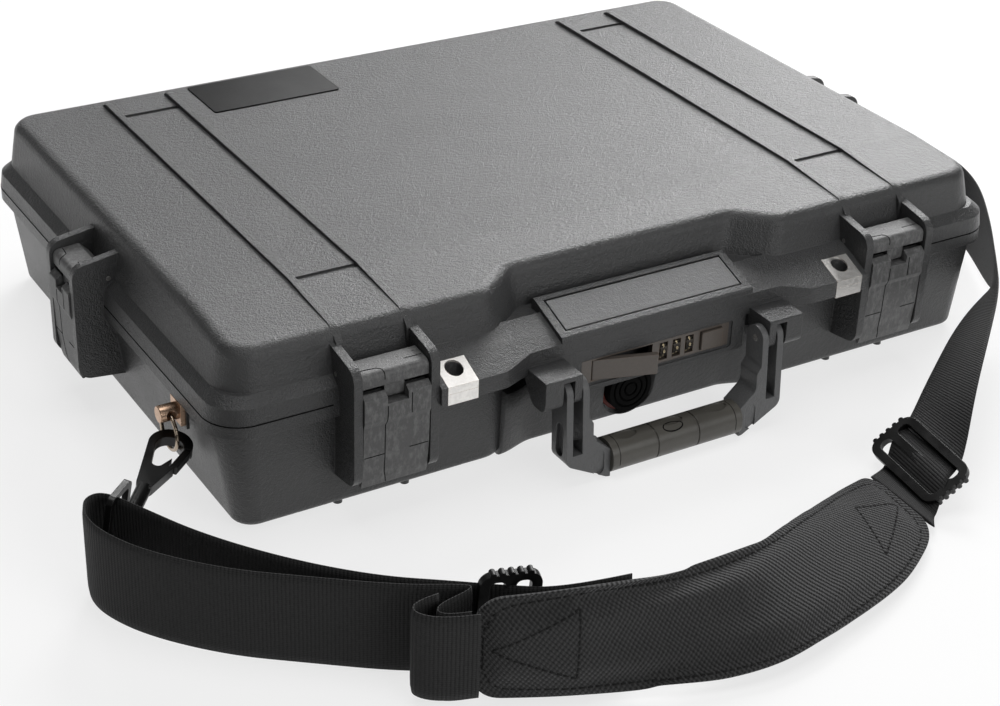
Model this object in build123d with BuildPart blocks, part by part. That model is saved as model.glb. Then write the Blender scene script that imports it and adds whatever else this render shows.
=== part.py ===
from build123d import *
import math
import os

# Hard laptop case with a hinged lid, four double-throw latches, a folding carrying handle,
# a combination lock, a purge valve and a clip-on shoulder strap.
# Frame: millimetres, +Z up, front towards -Y, origin at the middle of the plane the case rests on.

os.makedirs("parts", exist_ok=True)

# ---------------------------------------------------------------- driving sizes, mm
rim_length = 508.0              # outside of the closing rim, along X
rim_depth = 337.0               # outside of the closing rim, along Y
rim_corner = 21.0               # plan radius of the rim's corners
parting = 68.0                  # height of the plane where lid meets base

rib_height = 2.5                # resting ribs under the base
rib_width = 5.0
rib_spots = (143.2, 183.1)      # distance of the ribs and ridges from the middle
base_rim_height = 7.6           # rim band of the base, below the parting plane
base_top_inset = 4.5            # wall under the rim band, in from the rim
base_foot_inset_x = 13.0        # wall at the bottom, in from the rim ends
base_foot_inset_y = 6.5
base_corner_top = 17.0
base_corner_foot = 12.0
base_foot_round = 4.0
wall = 4.0                      # moulded wall thickness
floor_thickness = 4.0
rim_land = 11.0                 # width of the closing rim, outside to cavity

lid_rim_height = 9.0            # vertical band of the lid's rim
lid_rim_draft = 8.0             # degrees
ledge_height = 4.7              # sloping ledge above the band
ledge_draft = 50.5
dome_inset = 6.0                # dome wall where it leaves the band
dome_height = 30.3              # from the top of the band to the lid's flat top
dome_draft = 12.5
dome_back_inset = 2.0           # the rear wall of the dome is close to the rim and steeper
dome_back_draft = 3.0
dome_corner = 22.0
dome_round = 7.5                # radius of the lid's top edge
front_fall_start = -105.0       # the lid's top falls away in front of this line
front_fall = 4.0                # drop of the top between that line and the front edge
lid_top_thickness = 6.5
ridge_width = 4.0
ridge_height = 2.5
cross_groove_width = 4.0
cross_groove_depth = 1.2
cross_groove_spots = (-105.0, 131.7)

recess_half = 67.0              # S-shaped recess in the middle of the front walls
recess_run = 23.5
recess_depth = 17.0
recess_outer_round = 20.0
recess_inner_round = 8.0

flange_half = 139.0             # front flange that carries lock, handle and padlock plates
flange_out = 19.0               # reach of the flange in front of the rim, at its ends
flange_mid_out = 12.0           # reach in the middle
flange_mid_half = 82.0
flange_bend = 18.0              # length over which the flange steps back
flange_under = 5.4              # flange of the base, below the parting plane
flange_edge = 4.2               # flange of the lid, above the parting plane

platform_half = 62.5            # raised frame round the name panel
platform_back = 19.9            # back edge, behind the rim's front face
platform_front = 11.8           # front edge, in front of the rim's front face
platform_back_height = 88.9
platform_front_height = 78.4
panel_length = 114.0
panel_width = 22.6
panel_thickness = 2.0
panel_gap = 0.9

padlock_spot = 126.3            # padlock holes, from the middle
padlock_out = 8.7               # and in front of the rim
padlock_hole = 5.0              # radius
plate_width = 18.0
plate_thickness = 1.0

ear_thickness = 5.0             # ears on both sides of each latch
ear_out = 16.5                  # reach of the ears in front of the rim
ear_top = 97.0
ear_foot = 25.0
ear_round = 8.0
front_latch_spot = 163.3        # middle of the front latches
front_latch_width = 38.0
side_latch_spot = 3.5           # middle of the side latches, along Y
side_latch_width = 29.0
side_play = 0.5                 # between a latch and its ears

link_pin_out = -4.0             # upper pin, relative to the rim's face
link_pin_height = 83.0
lever_pin_out = 10.5            # lower pin
lever_pin_height = 74.5
latch_pin_radius = 1.4
pin_play = 0.06
eye_radius = 2.5
lever_clear_radius = 7.8
lever_front = 17.5
lever_back = 13.9
lever_foot = 22.0

hinge_out = 6.0                 # rear hinge axis behind the rim
knuckle_radius = 4.6
knuckle_length = 15.0
knuckle_play = 0.4
knuckles_per_hinge = 5
hinge_spot = 145.0
hinge_pin_radius = 1.6

seal_inset = 5.5                # closing groove and seal, in from the rim
seal_groove_width = 4.4
seal_groove_depth = 3.6
seal_height = 2.0
tongue_width = 2.4
tongue_height = 1.3

bracket_top = 66.5              # handle brackets
bracket_front = 31.5            # reach in front of the rim
bracket_plate = 2.5
outer_ear_from = 73.0
outer_ear_to = 84.0
outer_ear_foot = 48.0
inner_ear_from = 61.3
inner_ear_to = 66.0
inner_ear_foot = 48.5
handle_axis_out = 24.5          # handle pivot in front of the rim
handle_axis_height = 54.5
handle_pin_radius = 2.0
prong_radius = 7.5
handle_foot = 0.7
grip_half = 43.0
grip_height = 19.0
grip_depth = 19.0

lock_half = 48.5
lock_foot = 46.0
lock_head = 60.0
lock_plate_thickness = 3.0
lock_pocket_depth = 15.0
housing_half = 59.0
housing_foot = 41.5
dial_spots = (4.8, 13.5, 22.1)
dial_radius = 5.4
dial_width = 4.6
dial_axle_radius = 1.2
lock_lever_length = 36.0
lock_lever_height = 12.0
lock_lever_thickness = 3.2
lock_lever_angle = 17.0         # the lever stands part open
lock_lever_left = -41.5
button_width = 14.0
button_height = 11.0
button_spot = 36.5
button_proud = 1.8

valve_height = 19.2
valve_radius = 14.0
valve_seal_radius = 16.0

stud_spot = -110.5              # strap studs, along Y
stud_height = 51.0
stud_radius = 4.7
stud_reach = 8.5                # beyond the rim's end
stud_plate = 13.0
stud_plate_thickness = 2.5
stud_seat_inset = 4.0           # seat of the stud, in from the rim's end
stud_eye = 2.6                  # radius of the cross hole for the ring
ring_radius = 10.5
hook_depth = 6.0                # thickness of the moulded snap hook
hook_lift = 2.3                 # hook above the ring's lowest point
hook_length = 44.0
swivel_radius = 4.0
swivel_gap = 0.8
webbing_width = 48.0
webbing_thickness = 1.6
loop_wire = 3.2
loop_depth = 19.0
loop_clear = 1.0                # between the webbing's edges and the loop
webbing_lift = 4.4              # lower edge of the standing webbing above the floor
slider_length = 57.0
slider_width = 30.0
slider_thickness = 4.0
slider_bar = 5.0
slider_rib = 1.5                # radius of the ribs on the slider's short sides
pad_thickness = 9.0

foam_clear = 0.3
pocket_length = 380.0           # pocket of the base lining
pocket_depth = 262.0
pocket_height = 45.0
notch_radius = 17.0             # finger notches at the pocket's ends
lid_foam_thickness = 14.0

# Routes of the soft parts, points chosen along each.
left_route = (
    (-204.6, -331.6), (-217, -326), (-213, -319), (-194.6, -316.8), (-194.6, -313.2), (-222, -298),
    (-258, -271), (-287, -249), (-314, -219), (-327, -196), (-329, -180), (-324, -168), (-314, -167),
    (-304, -184), (-286, -218), (-258, -256), (-228, -287), (-198, -307),
)
left_bends = [3, 3, 1.2, 1.2, 60, 60, 60, 50, 30, 12, 6, 6, 16, 40, 60, 60]
right_route = (
    ((75.8, -306, 7.4), (-0.08, 0.99, 0.1)),
    ((89.4, -296, 3.2), (0.1, 0.99, 0.03)),
    ((102.5, -289, 12.1), (0.1, 0.99, 0.03)),
    ((115.4, -282, 20.8), (0.1, 0.99, 0.03)),
    ((145, -259, 35), (0.2, 0.93, -0.3)),
    ((182, -233, 45), (0.34, 0.87, -0.35)),
    ((228, -200, 45), (0.5, 0.7, -0.5)),
    ((254, -176, 38), (0.5, 0.4, -0.76)),
    ((284, -138, 31), (0.2, 0.1, -0.97)),
    ((310, -98, 29), (0, 0, -1)),
    ((323, -68, 28.6), (0, 0, -1)),
    ((324.4, -46, 28.4), (0, 0, -1)),
    ((321.5, -38.5, 28.4), (0, 0, -1)),
)
slider_centres = {"left": (-178, -318, 29.2), "right": (100, -289, 15.5)}
pad_stations = (
    ((-205, -333, 4), (-202, -328, 52)),
    ((-162, -354, 3), (-158, -348, 60)),
    ((-112, -375, 3), (-100, -344, 47)),
    ((-70, -384, 4), (-45, -332, 36)),
    ((-26, -378, 5), (-2, -314, 27)),
    ((31, -360, 5), (45, -291, 14)),
    ((75, -330, 5), (71, -284, 10)),
)
ring_wire = 1.1

play = 0.3                      # general clearance between moving pieces
label_length = 85.0             # blank plate on the lid
label_depth = 43.5
label_thickness = 0.7
label_spot = 86.5
label_line = 134.2
link_front = 14.5               # face of the latch's upper arm
lug_share = 0.3                 # half width of the link's lug, in half widths of the latch
catch_top = 57.0                # catch of the base that the latch's claw bears on
catch_foot = 49.0
catch_out = 6.0
claw_tip = 6.5
grip_line = -197.5              # middle of the grip
grip_axis_height = 10.4
grip_seam = 13.5
lock_pin_radius = 0.9
dial_notches = 10
valve_stem_radius = 8.0
valve_seal_thickness = 3.0
valve_cap_thickness = 6.0

# ---------------------------------------------------------------- sizes worked out
half_length = rim_length / 2
half_depth = rim_depth / 2
base_bottom = rib_height
base_rim_foot = parting - base_rim_height
lid_band_top = parting + lid_rim_height
lid_top = lid_band_top + dome_height
front_face = -half_depth


def save(piece, name):
    """Label a finished piece and write it."""
    piece.part.label = name
    export_step(piece.part, f"parts/{name}.step")


def case_plan(half_x, front, back, corner, grow=0.0):
    """Outline of the case seen from above, with the stepped recess in its front wall.

    front and back are distances from the middle, and grow moves the recess's wall inwards.
    """
    inner = recess_half + grow
    outer = inner + recess_run
    deep = front_face + dome_inset + recess_depth + grow
    with BuildSketch() as plan:
        with BuildLine():
            FilletPolyline(
                (-half_x, -front), (-outer, -front), (-inner, deep), (inner, deep),
                (outer, -front), (half_x, -front), (half_x, back), (-half_x, back),
                radius=[corner, recess_outer_round - grow, recess_inner_round + grow,
                        recess_inner_round + grow, recess_outer_round - grow, corner, corner, corner],
                close=True,
            )
        make_face()
    return plan.sketch


def flange_plan():
    """Outline of the front flange: full reach at the ends, stepped back in the middle."""
    back = front_face + rim_land
    ends = front_face - flange_out
    middle = front_face - flange_mid_out
    bend = flange_mid_half + flange_bend
    with BuildSketch() as plan:
        with BuildLine():
            FilletPolyline(
                (-flange_half, back), (-flange_half, ends), (-bend, ends), (-flange_mid_half, middle),
                (flange_mid_half, middle), (bend, ends), (flange_half, ends), (flange_half, back),
                radius=[0, 0, 12, 12, 12, 12, 0, 0],
                close=True,
            )
        make_face()
    return plan.sketch


def lobe(*points, radius):
    """Closed outline with one radius for each corner."""
    with BuildSketch() as outline:
        with BuildLine():
            FilletPolyline(*points, radius=radius, close=True)
        make_face()
    return outline.sketch


# Each latch has a plane across it: local x points out of the case, local y up, and the
# plane's normal runs along the wall.
latch_planes = {
    "front_left": Plane(origin=(-front_latch_spot, front_face, 0), x_dir=(0, -1, 0), z_dir=(-1, 0, 0)),
    "front_right": Plane(origin=(front_latch_spot, front_face, 0), x_dir=(0, -1, 0), z_dir=(-1, 0, 0)),
    "side_left": Plane(origin=(-half_length, side_latch_spot, 0), x_dir=(-1, 0, 0), z_dir=(0, 1, 0)),
    "side_right": Plane(origin=(half_length, side_latch_spot, 0), x_dir=(1, 0, 0), z_dir=(0, -1, 0)),
}
latch_widths = {
    "front_left": front_latch_width,
    "front_right": front_latch_width,
    "side_left": side_latch_width,
    "side_right": side_latch_width,
}


def ear_planes(name):
    """Planes through the middle of the two ears of a latch."""
    reach = latch_widths[name] / 2 + side_play + ear_thickness / 2
    return [latch_planes[name].offset(reach), latch_planes[name].offset(-reach)]


lid_ear = lobe(
    (-8, parting), (ear_out, parting), (ear_out, ear_top - 4.4), (-12, ear_top + 0.4),
    radius=[0, 0, ear_round, 0],
)
base_ears = {}
for name in latch_planes:
    inset = base_foot_inset_y if name.startswith("front") else base_foot_inset_x
    base_ears[name] = lobe(
        (-8, parting), (ear_out, parting), (ear_out, ear_foot), (-inset, ear_foot - 3),
        radius=[0, 0, ear_round, 0],
    )

# ---------------------------------------------------------------- base shell
seal_line = half_length - rim_land
seal_line_y = half_depth - rim_land
cavity_corner = base_corner_top - wall
hinge_axis = half_depth + hinge_out
hinge_pitch = knuckle_length + knuckle_play
hinge_reach = hinge_pitch * knuckles_per_hinge / 2
bracket_root = front_face - flange_mid_out + 4
bracket_face = front_face - bracket_front
handle_axis = front_face - handle_axis_out
lock_face = front_face - flange_mid_out + 1
valve_wall = front_face + dome_inset + recess_depth
valve_boss = 4.0
padlock_line = front_face - padlock_out


def knuckle_spots(side, first):
    """Middles of every second knuckle of one hinge, along X."""
    start = side * hinge_spot - hinge_pitch * (knuckles_per_hinge - 1) / 2
    return [start + hinge_pitch * i for i in range(first, knuckles_per_hinge, 2)]


def seal_path(centre, width):
    """Closed ring along the rim, at a distance outside the cavity."""
    out = centre + width / 2
    back = centre - width / 2
    with BuildSketch() as ring:
        add(case_plan(seal_line + out, seal_line_y + out, seal_line_y + out, cavity_corner + out, wall - out))
        add(case_plan(seal_line + back, seal_line_y + back, seal_line_y + back, cavity_corner + back,
                      wall - back), mode=Mode.SUBTRACT)
    return ring.sketch


def lower_plate_section():
    """Section of a lower padlock plate: a strip under the flange bent up over its front face."""
    face = front_face - flange_out
    foot = parting - flange_under
    return lobe(
        (padlock_line + 7, foot), (face + plate_thickness, foot), (face + plate_thickness, parting),
        (face, parting), (face, foot - plate_thickness), (padlock_line + 7, foot - plate_thickness),
        radius=[0, 0, 0, 0, 0, 0],
    )


with BuildPart() as base_shell:
    # outer wall, drafted from the rim down to the foot
    with BuildSketch(Plane.XY.offset(base_bottom)):
        add(case_plan(half_length - base_foot_inset_x, half_depth - base_foot_inset_y,
                      half_depth - base_foot_inset_y, base_corner_foot))
    with BuildSketch(Plane.XY.offset(base_rim_foot)):
        add(case_plan(half_length - base_top_inset, half_depth - base_top_inset,
                      half_depth - base_top_inset, base_corner_top))
    loft(ruled=True)
    fillet(base_shell.edges().group_by(Axis.Z)[0], base_foot_round)
    # resting ribs
    with BuildSketch():
        with Locations(*[(side * spot, 0) for side in (-1, 1) for spot in rib_spots]):
            RectangleRounded(rib_width, rim_depth - 19, rib_width / 2 - 0.1)
    extrude(amount=base_bottom + 1)
    # rim band
    with BuildSketch(Plane.XY.offset(base_rim_foot)):
        RectangleRounded(rim_length, rim_depth, rim_corner)
    extrude(amount=base_rim_height)
    # front flange and the housing of the lock
    with BuildSketch(Plane.XY.offset(parting - flange_under)):
        add(flange_plan())
    extrude(amount=flange_under)
    with BuildSketch(Plane.XZ.offset(-front_face - rim_land)):
        with Locations((0, (housing_foot + parting) / 2)):
            RectangleRounded(2 * housing_half, parting - housing_foot, 3)
    extrude(amount=rim_land + flange_mid_out)
    # ears of the latches
    for name, outline in base_ears.items():
        for ear_plane in ear_planes(name):
            with BuildSketch(ear_plane):
                add(outline)
            extrude(amount=ear_thickness / 2, both=True)
    # catches between the ears
    for name, plane in latch_planes.items():
        with BuildSketch(plane):
            add(lobe(
                (-8, catch_top + 3), (catch_out, catch_top), (catch_out, catch_foot), (-8, catch_foot - 8),
                radius=[0, 1.5, 1.5, 0],
            ))
        extrude(amount=latch_widths[name] / 2 + side_play, both=True)
    # cavity
    with BuildSketch(Plane.XY.offset(base_bottom + floor_thickness)):
        add(case_plan(half_length - base_foot_inset_x - wall, half_depth - base_foot_inset_y - wall,
                      half_depth - base_foot_inset_y - wall, base_corner_foot - wall, wall))
    with BuildSketch(Plane.XY.offset(parting)):
        add(case_plan(seal_line, seal_line_y, seal_line_y, cavity_corner, wall))
    loft(ruled=True, mode=Mode.SUBTRACT)
    # closing tongue under the seal
    with BuildSketch(Plane.XY.offset(parting)):
        add(seal_path(rim_land - seal_inset, tongue_width))
    extrude(amount=tongue_height)
    # base knuckles of the rear hinges
    for side in (-1, 1):
        for spot in knuckle_spots(side, 0):
            with BuildSketch(Plane.YZ.offset(spot)):
                with Locations((hinge_axis, parting)):
                    Circle(knuckle_radius)
                add(lobe(
                    (half_depth - 1, base_rim_foot + 0.4), (hinge_axis, parting - knuckle_radius),
                    (hinge_axis, parting), (half_depth - 1, parting),
                    radius=[0, 0, 0, 0],
                ))
            extrude(amount=knuckle_length / 2, both=True)
        with BuildSketch(Plane.YZ.offset(side * hinge_spot)):
            with Locations((hinge_axis, parting)):
                Circle(hinge_pin_radius)
        extrude(amount=hinge_reach, both=True, mode=Mode.SUBTRACT)
    # handle brackets: a top plate over an outer and an inner ear
    for side in (-1, 1):
        for ear_from, ear_to, foot in ((outer_ear_from, outer_ear_to, outer_ear_foot),
                                       (inner_ear_from, inner_ear_to, inner_ear_foot)):
            with BuildSketch(Plane.YZ.offset(side * (ear_from + ear_to) / 2)):
                add(lobe(
                    (bracket_root, bracket_top), (bracket_face, bracket_top), (bracket_face, foot),
                    (handle_axis + prong_radius - 2, foot), (bracket_root, parting - flange_under),
                    radius=[0, 1.2, 5, 6, 0],
                ))
            extrude(amount=(ear_to - ear_from) / 2, both=True)
        with BuildSketch(Plane.YZ.offset(side * (outer_ear_from + inner_ear_to) / 2)):
            add(lobe(
                (bracket_root, bracket_top), (bracket_face, bracket_top),
                (bracket_face, bracket_top - bracket_plate), (bracket_root, bracket_top - bracket_plate),
                radius=[0, 1.2, 0, 0],
            ))
        extrude(amount=(outer_ear_from - inner_ear_to) / 2 + 1, both=True)
    with BuildSketch(Plane.YZ):
        with Locations((handle_axis, handle_axis_height)):
            Circle(handle_pin_radius)
    extrude(amount=outer_ear_to - 3, both=True, mode=Mode.SUBTRACT)
    # recess and pocket of the lock
    with BuildSketch(Plane.XZ.offset(-lock_face)):
        with Locations((0, (lock_foot + lock_head) / 2)):
            RectangleRounded(2 * (lock_half + 2), lock_head - lock_foot + 3, 2)
    extrude(amount=5, mode=Mode.SUBTRACT)
    with BuildSketch(Plane.XZ.offset(-lock_face)):
        with Locations((0, (lock_foot + lock_head) / 2)):
            Rectangle(2 * lock_half, lock_head - lock_foot)
    extrude(amount=-lock_plate_thickness, mode=Mode.SUBTRACT)
    with BuildSketch(Plane.XZ.offset(-lock_face)):
        with Locations((0, (lock_foot + lock_head) / 2)):
            Rectangle(2 * lock_half - 4, lock_head - lock_foot - 2)
    extrude(amount=-lock_pocket_depth, mode=Mode.SUBTRACT)
    # flat seats for the strap studs
    for side in (-1, 1):
        with BuildSketch(Plane.YZ.offset(side * (half_length - rim_land / 2))):
            with Locations((stud_spot, stud_height)):
                Rectangle(stud_plate + 3, stud_plate + 3)
        extrude(amount=side * (rim_land / 2 - stud_seat_inset))
    # boss of the purge valve
    with BuildSketch(Plane.XZ.offset(-valve_wall - 1)):
        with Locations((0, valve_height)):
            Circle(valve_seal_radius)
    extrude(amount=valve_boss + 1)
    # padlock holes
    with BuildSketch(Plane.XY.offset(parting)):
        with Locations(*[(side * padlock_spot, padlock_line) for side in (-1, 1)]):
            Circle(padlock_hole)
    extrude(amount=-2 * flange_under, mode=Mode.SUBTRACT)
    # seats of the lower padlock plates
    for side in (-1, 1):
        with BuildSketch(Plane.YZ.offset(side * padlock_spot)):
            add(lower_plate_section())
        extrude(amount=plate_width / 2, both=True, mode=Mode.SUBTRACT)
save(base_shell, "base_shell")

# ---------------------------------------------------------------- lid shell
flange_face = front_face - flange_out
plate_back = front_face - 2.5               # where the flange's slope eases
plate_back_height = parting + 11.0
platform_face = front_face - platform_front
platform_rear = front_face + platform_back
platform_slope = math.atan2(platform_back_height - platform_front_height, platform_back + platform_front)
panel_plane = Plane(
    origin=(0, (platform_face + platform_rear) / 2, (platform_back_height + platform_front_height) / 2),
    x_dir=(1, 0, 0),
    z_dir=(0, -math.sin(platform_slope), math.cos(platform_slope)),
)
ridge_face = front_face + 7.5
ridge_front_height = lid_band_top + 20


def upper_plate_section():
    """Section of an upper padlock plate: a bent strip over the slope and the front face."""
    slope = math.atan2(plate_back_height - parting - flange_edge, plate_back - flange_face)
    along = Vector(0, math.cos(slope), math.sin(slope))
    top_start = Vector(0, flange_face, parting + flange_edge)
    top_end = top_start + along * ((plate_back - flange_face) / math.cos(slope) - 0.5)
    under = Vector(0, math.sin(slope), -math.cos(slope)) * plate_thickness
    inner_corner = parting + flange_edge - plate_thickness * 0.75
    return lobe(
        (flange_face, parting), (top_start.Y, top_start.Z), (top_end.Y, top_end.Z),
        (top_end.Y + under.Y, top_end.Z + under.Z), (flange_face + plate_thickness, inner_corner),
        (flange_face + plate_thickness, parting),
        radius=[0, 0, 0, 0, 0, 0],
    )


lean = dome_height * math.tan(math.radians(dome_draft))
back_lean = dome_height * math.tan(math.radians(dome_back_draft))
with BuildPart() as dome:
    with BuildSketch(Plane.XY.offset(lid_band_top)):
        add(case_plan(half_length - dome_inset, half_depth - dome_inset, half_depth - dome_back_inset,
                      dome_corner))
    with BuildSketch(Plane.XY.offset(lid_top)):
        add(case_plan(half_length - dome_inset - lean, half_depth - dome_inset - lean,
                      half_depth - dome_back_inset - back_lean, dome_corner - lean, lean))
    loft(ruled=True)
    with BuildSketch(Plane.YZ):
        add(lobe(
            (front_face, lid_band_top), (front_face, lid_top - front_fall), (front_fall_start, lid_top),
            (half_depth, lid_top), (half_depth, lid_band_top),
            radius=[0, 0, 0, 0, 0],
        ))
    extrude(amount=half_length, both=True, mode=Mode.INTERSECT)
    crease = dome.edges().filter_by(Axis.X).sort_by(lambda e: abs(e.center().Y - front_fall_start))[0]
    rim_edges = dome.edges().filter_by(lambda e: e.center().Z > lid_top - front_fall - 1)
    fillet(rim_edges - ShapeList([crease]), dome_round)

# front flange with its sloping top
with BuildPart() as flange:
    with BuildSketch(Plane.XY.offset(parting)):
        add(flange_plan())
    extrude(amount=dome_height)
    with BuildSketch(Plane.YZ):
        add(lobe(
            (flange_face, parting), (flange_face, parting + flange_edge), (plate_back, plate_back_height),
            (front_face + dome_inset + recess_depth, lid_band_top + 10.5),
            (front_face + 2 * rim_land, parting),
            radius=[0, 0, 0, 0, 0],
        ))
    extrude(amount=flange_half, both=True, mode=Mode.INTERSECT)

with BuildPart() as lid_shell:
    # rim band, sloping ledge and dome
    with BuildSketch(Plane.XY.offset(parting)):
        RectangleRounded(rim_length, rim_depth, rim_corner)
    extrude(amount=lid_rim_height, taper=lid_rim_draft)
    band_inset = lid_rim_height * math.tan(math.radians(lid_rim_draft))
    with BuildSketch(Plane.XY.offset(lid_band_top)):
        RectangleRounded(rim_length - 2 * band_inset, rim_depth - 2 * band_inset, rim_corner - band_inset)
    extrude(amount=ledge_height, taper=ledge_draft)
    add(dome)
    add(flange)
    # raised frame round the name panel, and the panel's seat
    with BuildSketch(Plane.YZ):
        add(lobe(
            (platform_face, parting), (platform_face, platform_front_height),
            (platform_rear, platform_back_height), (platform_rear, parting),
            radius=[0, 1.5, 1.5, 0],
        ))
    extrude(amount=platform_half, both=True)
    with BuildSketch(panel_plane):
        Rectangle(panel_length + 2 * panel_gap, panel_width + 2 * panel_gap)
    extrude(amount=-panel_thickness, mode=Mode.SUBTRACT)
    # ears of the latches
    for name in latch_planes:
        for ear_plane in ear_planes(name):
            with BuildSketch(ear_plane):
                add(lid_ear)
            extrude(amount=ear_thickness / 2, both=True)
    # raised ridges over the top and down the front
    for side in (-1, 1):
        for spot in rib_spots:
            with BuildSketch(Plane.YZ.offset(side * spot)):
                add(lobe(
                    (front_face + dome_inset + 2, lid_band_top + 8), (ridge_face, ridge_front_height),
                    (front_face + 15.5, lid_top - 2.6), (front_fall_start, lid_top + ridge_height - 0.9),
                    (half_depth - 14, lid_top + ridge_height), (half_depth - 9, lid_band_top + 8),
                    radius=[0, 3, 7, 0, 8, 0],
                ))
            extrude(amount=ridge_width / 2, both=True)
        # cross grooves between each pair of ridges
        for spot in cross_groove_spots:
            with BuildSketch(Plane.XY.offset(lid_top - cross_groove_depth)):
                with Locations((side * (rib_spots[0] + rib_spots[1]) / 2, spot)):
                    Rectangle(rib_spots[1] - rib_spots[0] - ridge_width, cross_groove_width)
            extrude(amount=cross_groove_depth + 1, mode=Mode.SUBTRACT)
    # lid knuckles of the rear hinges
    for side in (-1, 1):
        for spot in knuckle_spots(side, 1):
            with BuildSketch(Plane.YZ.offset(spot)):
                with Locations((hinge_axis, parting)):
                    Circle(knuckle_radius)
                add(lobe(
                    (half_depth - 2, parting), (hinge_axis, parting), (hinge_axis, parting + knuckle_radius),
                    (half_depth - 2, lid_band_top - 1),
                    radius=[0, 0, 0, 0],
                ))
            extrude(amount=knuckle_length / 2, both=True)
        with BuildSketch(Plane.YZ.offset(side * hinge_spot)):
            with Locations((hinge_axis, parting)):
                Circle(hinge_pin_radius + pin_play)
        extrude(amount=hinge_reach, both=True, mode=Mode.SUBTRACT)
    # cavity
    with BuildSketch(Plane.XY.offset(parting)):
        add(case_plan(seal_line, seal_line_y, seal_line_y, dome_corner - wall, wall))
    extrude(amount=lid_top - lid_top_thickness - parting, taper=dome_draft / 2, mode=Mode.SUBTRACT)
    # groove of the seal
    with BuildSketch(Plane.XY.offset(parting)):
        add(seal_path(rim_land - seal_inset, seal_groove_width))
    extrude(amount=seal_groove_depth, mode=Mode.SUBTRACT)
    # bores of the latch pins
    for name in latch_planes:
        with BuildSketch(latch_planes[name]):
            with Locations((link_pin_out, link_pin_height)):
                Circle(latch_pin_radius)
        extrude(amount=latch_widths[name] / 2 + side_play + ear_thickness, both=True, mode=Mode.SUBTRACT)
    # padlock holes and the seats of the upper plates
    for side in (-1, 1):
        with BuildSketch(Plane.YZ.offset(side * padlock_spot)):
            add(upper_plate_section())
        extrude(amount=plate_width / 2, both=True, mode=Mode.SUBTRACT)
    with BuildSketch(Plane.XY.offset(parting)):
        with Locations(*[(side * padlock_spot, padlock_line) for side in (-1, 1)]):
            Circle(padlock_hole)
    extrude(amount=2 * lid_rim_height, mode=Mode.SUBTRACT)
save(lid_shell, "lid_shell")

# ---------------------------------------------------------------- closing parts of the lid
with BuildPart() as lid_seal:
    with BuildSketch(Plane.XY.offset(parting + seal_groove_depth - seal_height)):
        add(seal_path(rim_land - seal_inset, seal_groove_width - 0.2))
    extrude(amount=seal_height)
save(lid_seal, "lid_seal")

with BuildPart() as name_panel:
    with BuildSketch(panel_plane):
        Rectangle(panel_length, panel_width)
    extrude(amount=-panel_thickness)
    chamfer(name_panel.faces().sort_by(Axis.Z)[-1].edges(), 0.5)
save(name_panel, "name_panel")

with BuildPart() as label_plate:
    with BuildSketch(Plane.XY.offset(lid_top)):
        with Locations((-label_spot, label_line)):
            RectangleRounded(label_length, label_depth, 2)
    extrude(amount=label_thickness)
save(label_plate, "label_plate")

for side, side_name in ((-1, "left"), (1, "right")):
    with BuildPart() as hinge_pin:
        with BuildSketch(Plane.YZ.offset(side * hinge_spot)):
            with Locations((hinge_axis, parting)):
                Circle(hinge_pin_radius)
        extrude(amount=hinge_reach - 0.4, both=True)
    save(hinge_pin, f"hinge_pin_{side_name}")

    with BuildPart() as upper_plate:
        with BuildSketch(Plane.YZ.offset(side * padlock_spot)):
            add(upper_plate_section())
        extrude(amount=plate_width / 2, both=True)
        with BuildSketch(Plane.XY.offset(parting)):
            with Locations((side * padlock_spot, padlock_line)):
                Circle(padlock_hole)
        extrude(amount=2 * lid_rim_height, mode=Mode.SUBTRACT)
    save(upper_plate, f"padlock_plate_upper_{side_name}")

    with BuildPart() as lower_plate:
        with BuildSketch(Plane.YZ.offset(side * padlock_spot)):
            add(lower_plate_section())
        extrude(amount=plate_width / 2, both=True)
        with BuildSketch(Plane.XY.offset(parting)):
            with Locations((side * padlock_spot, padlock_line)):
                Circle(padlock_hole)
        extrude(amount=-2 * flange_under, mode=Mode.SUBTRACT)
    save(lower_plate, f"padlock_plate_lower_{side_name}")

# ---------------------------------------------------------------- latches
link_pin = (link_pin_out, link_pin_height)
lever_pin = (lever_pin_out, lever_pin_height)


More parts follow.
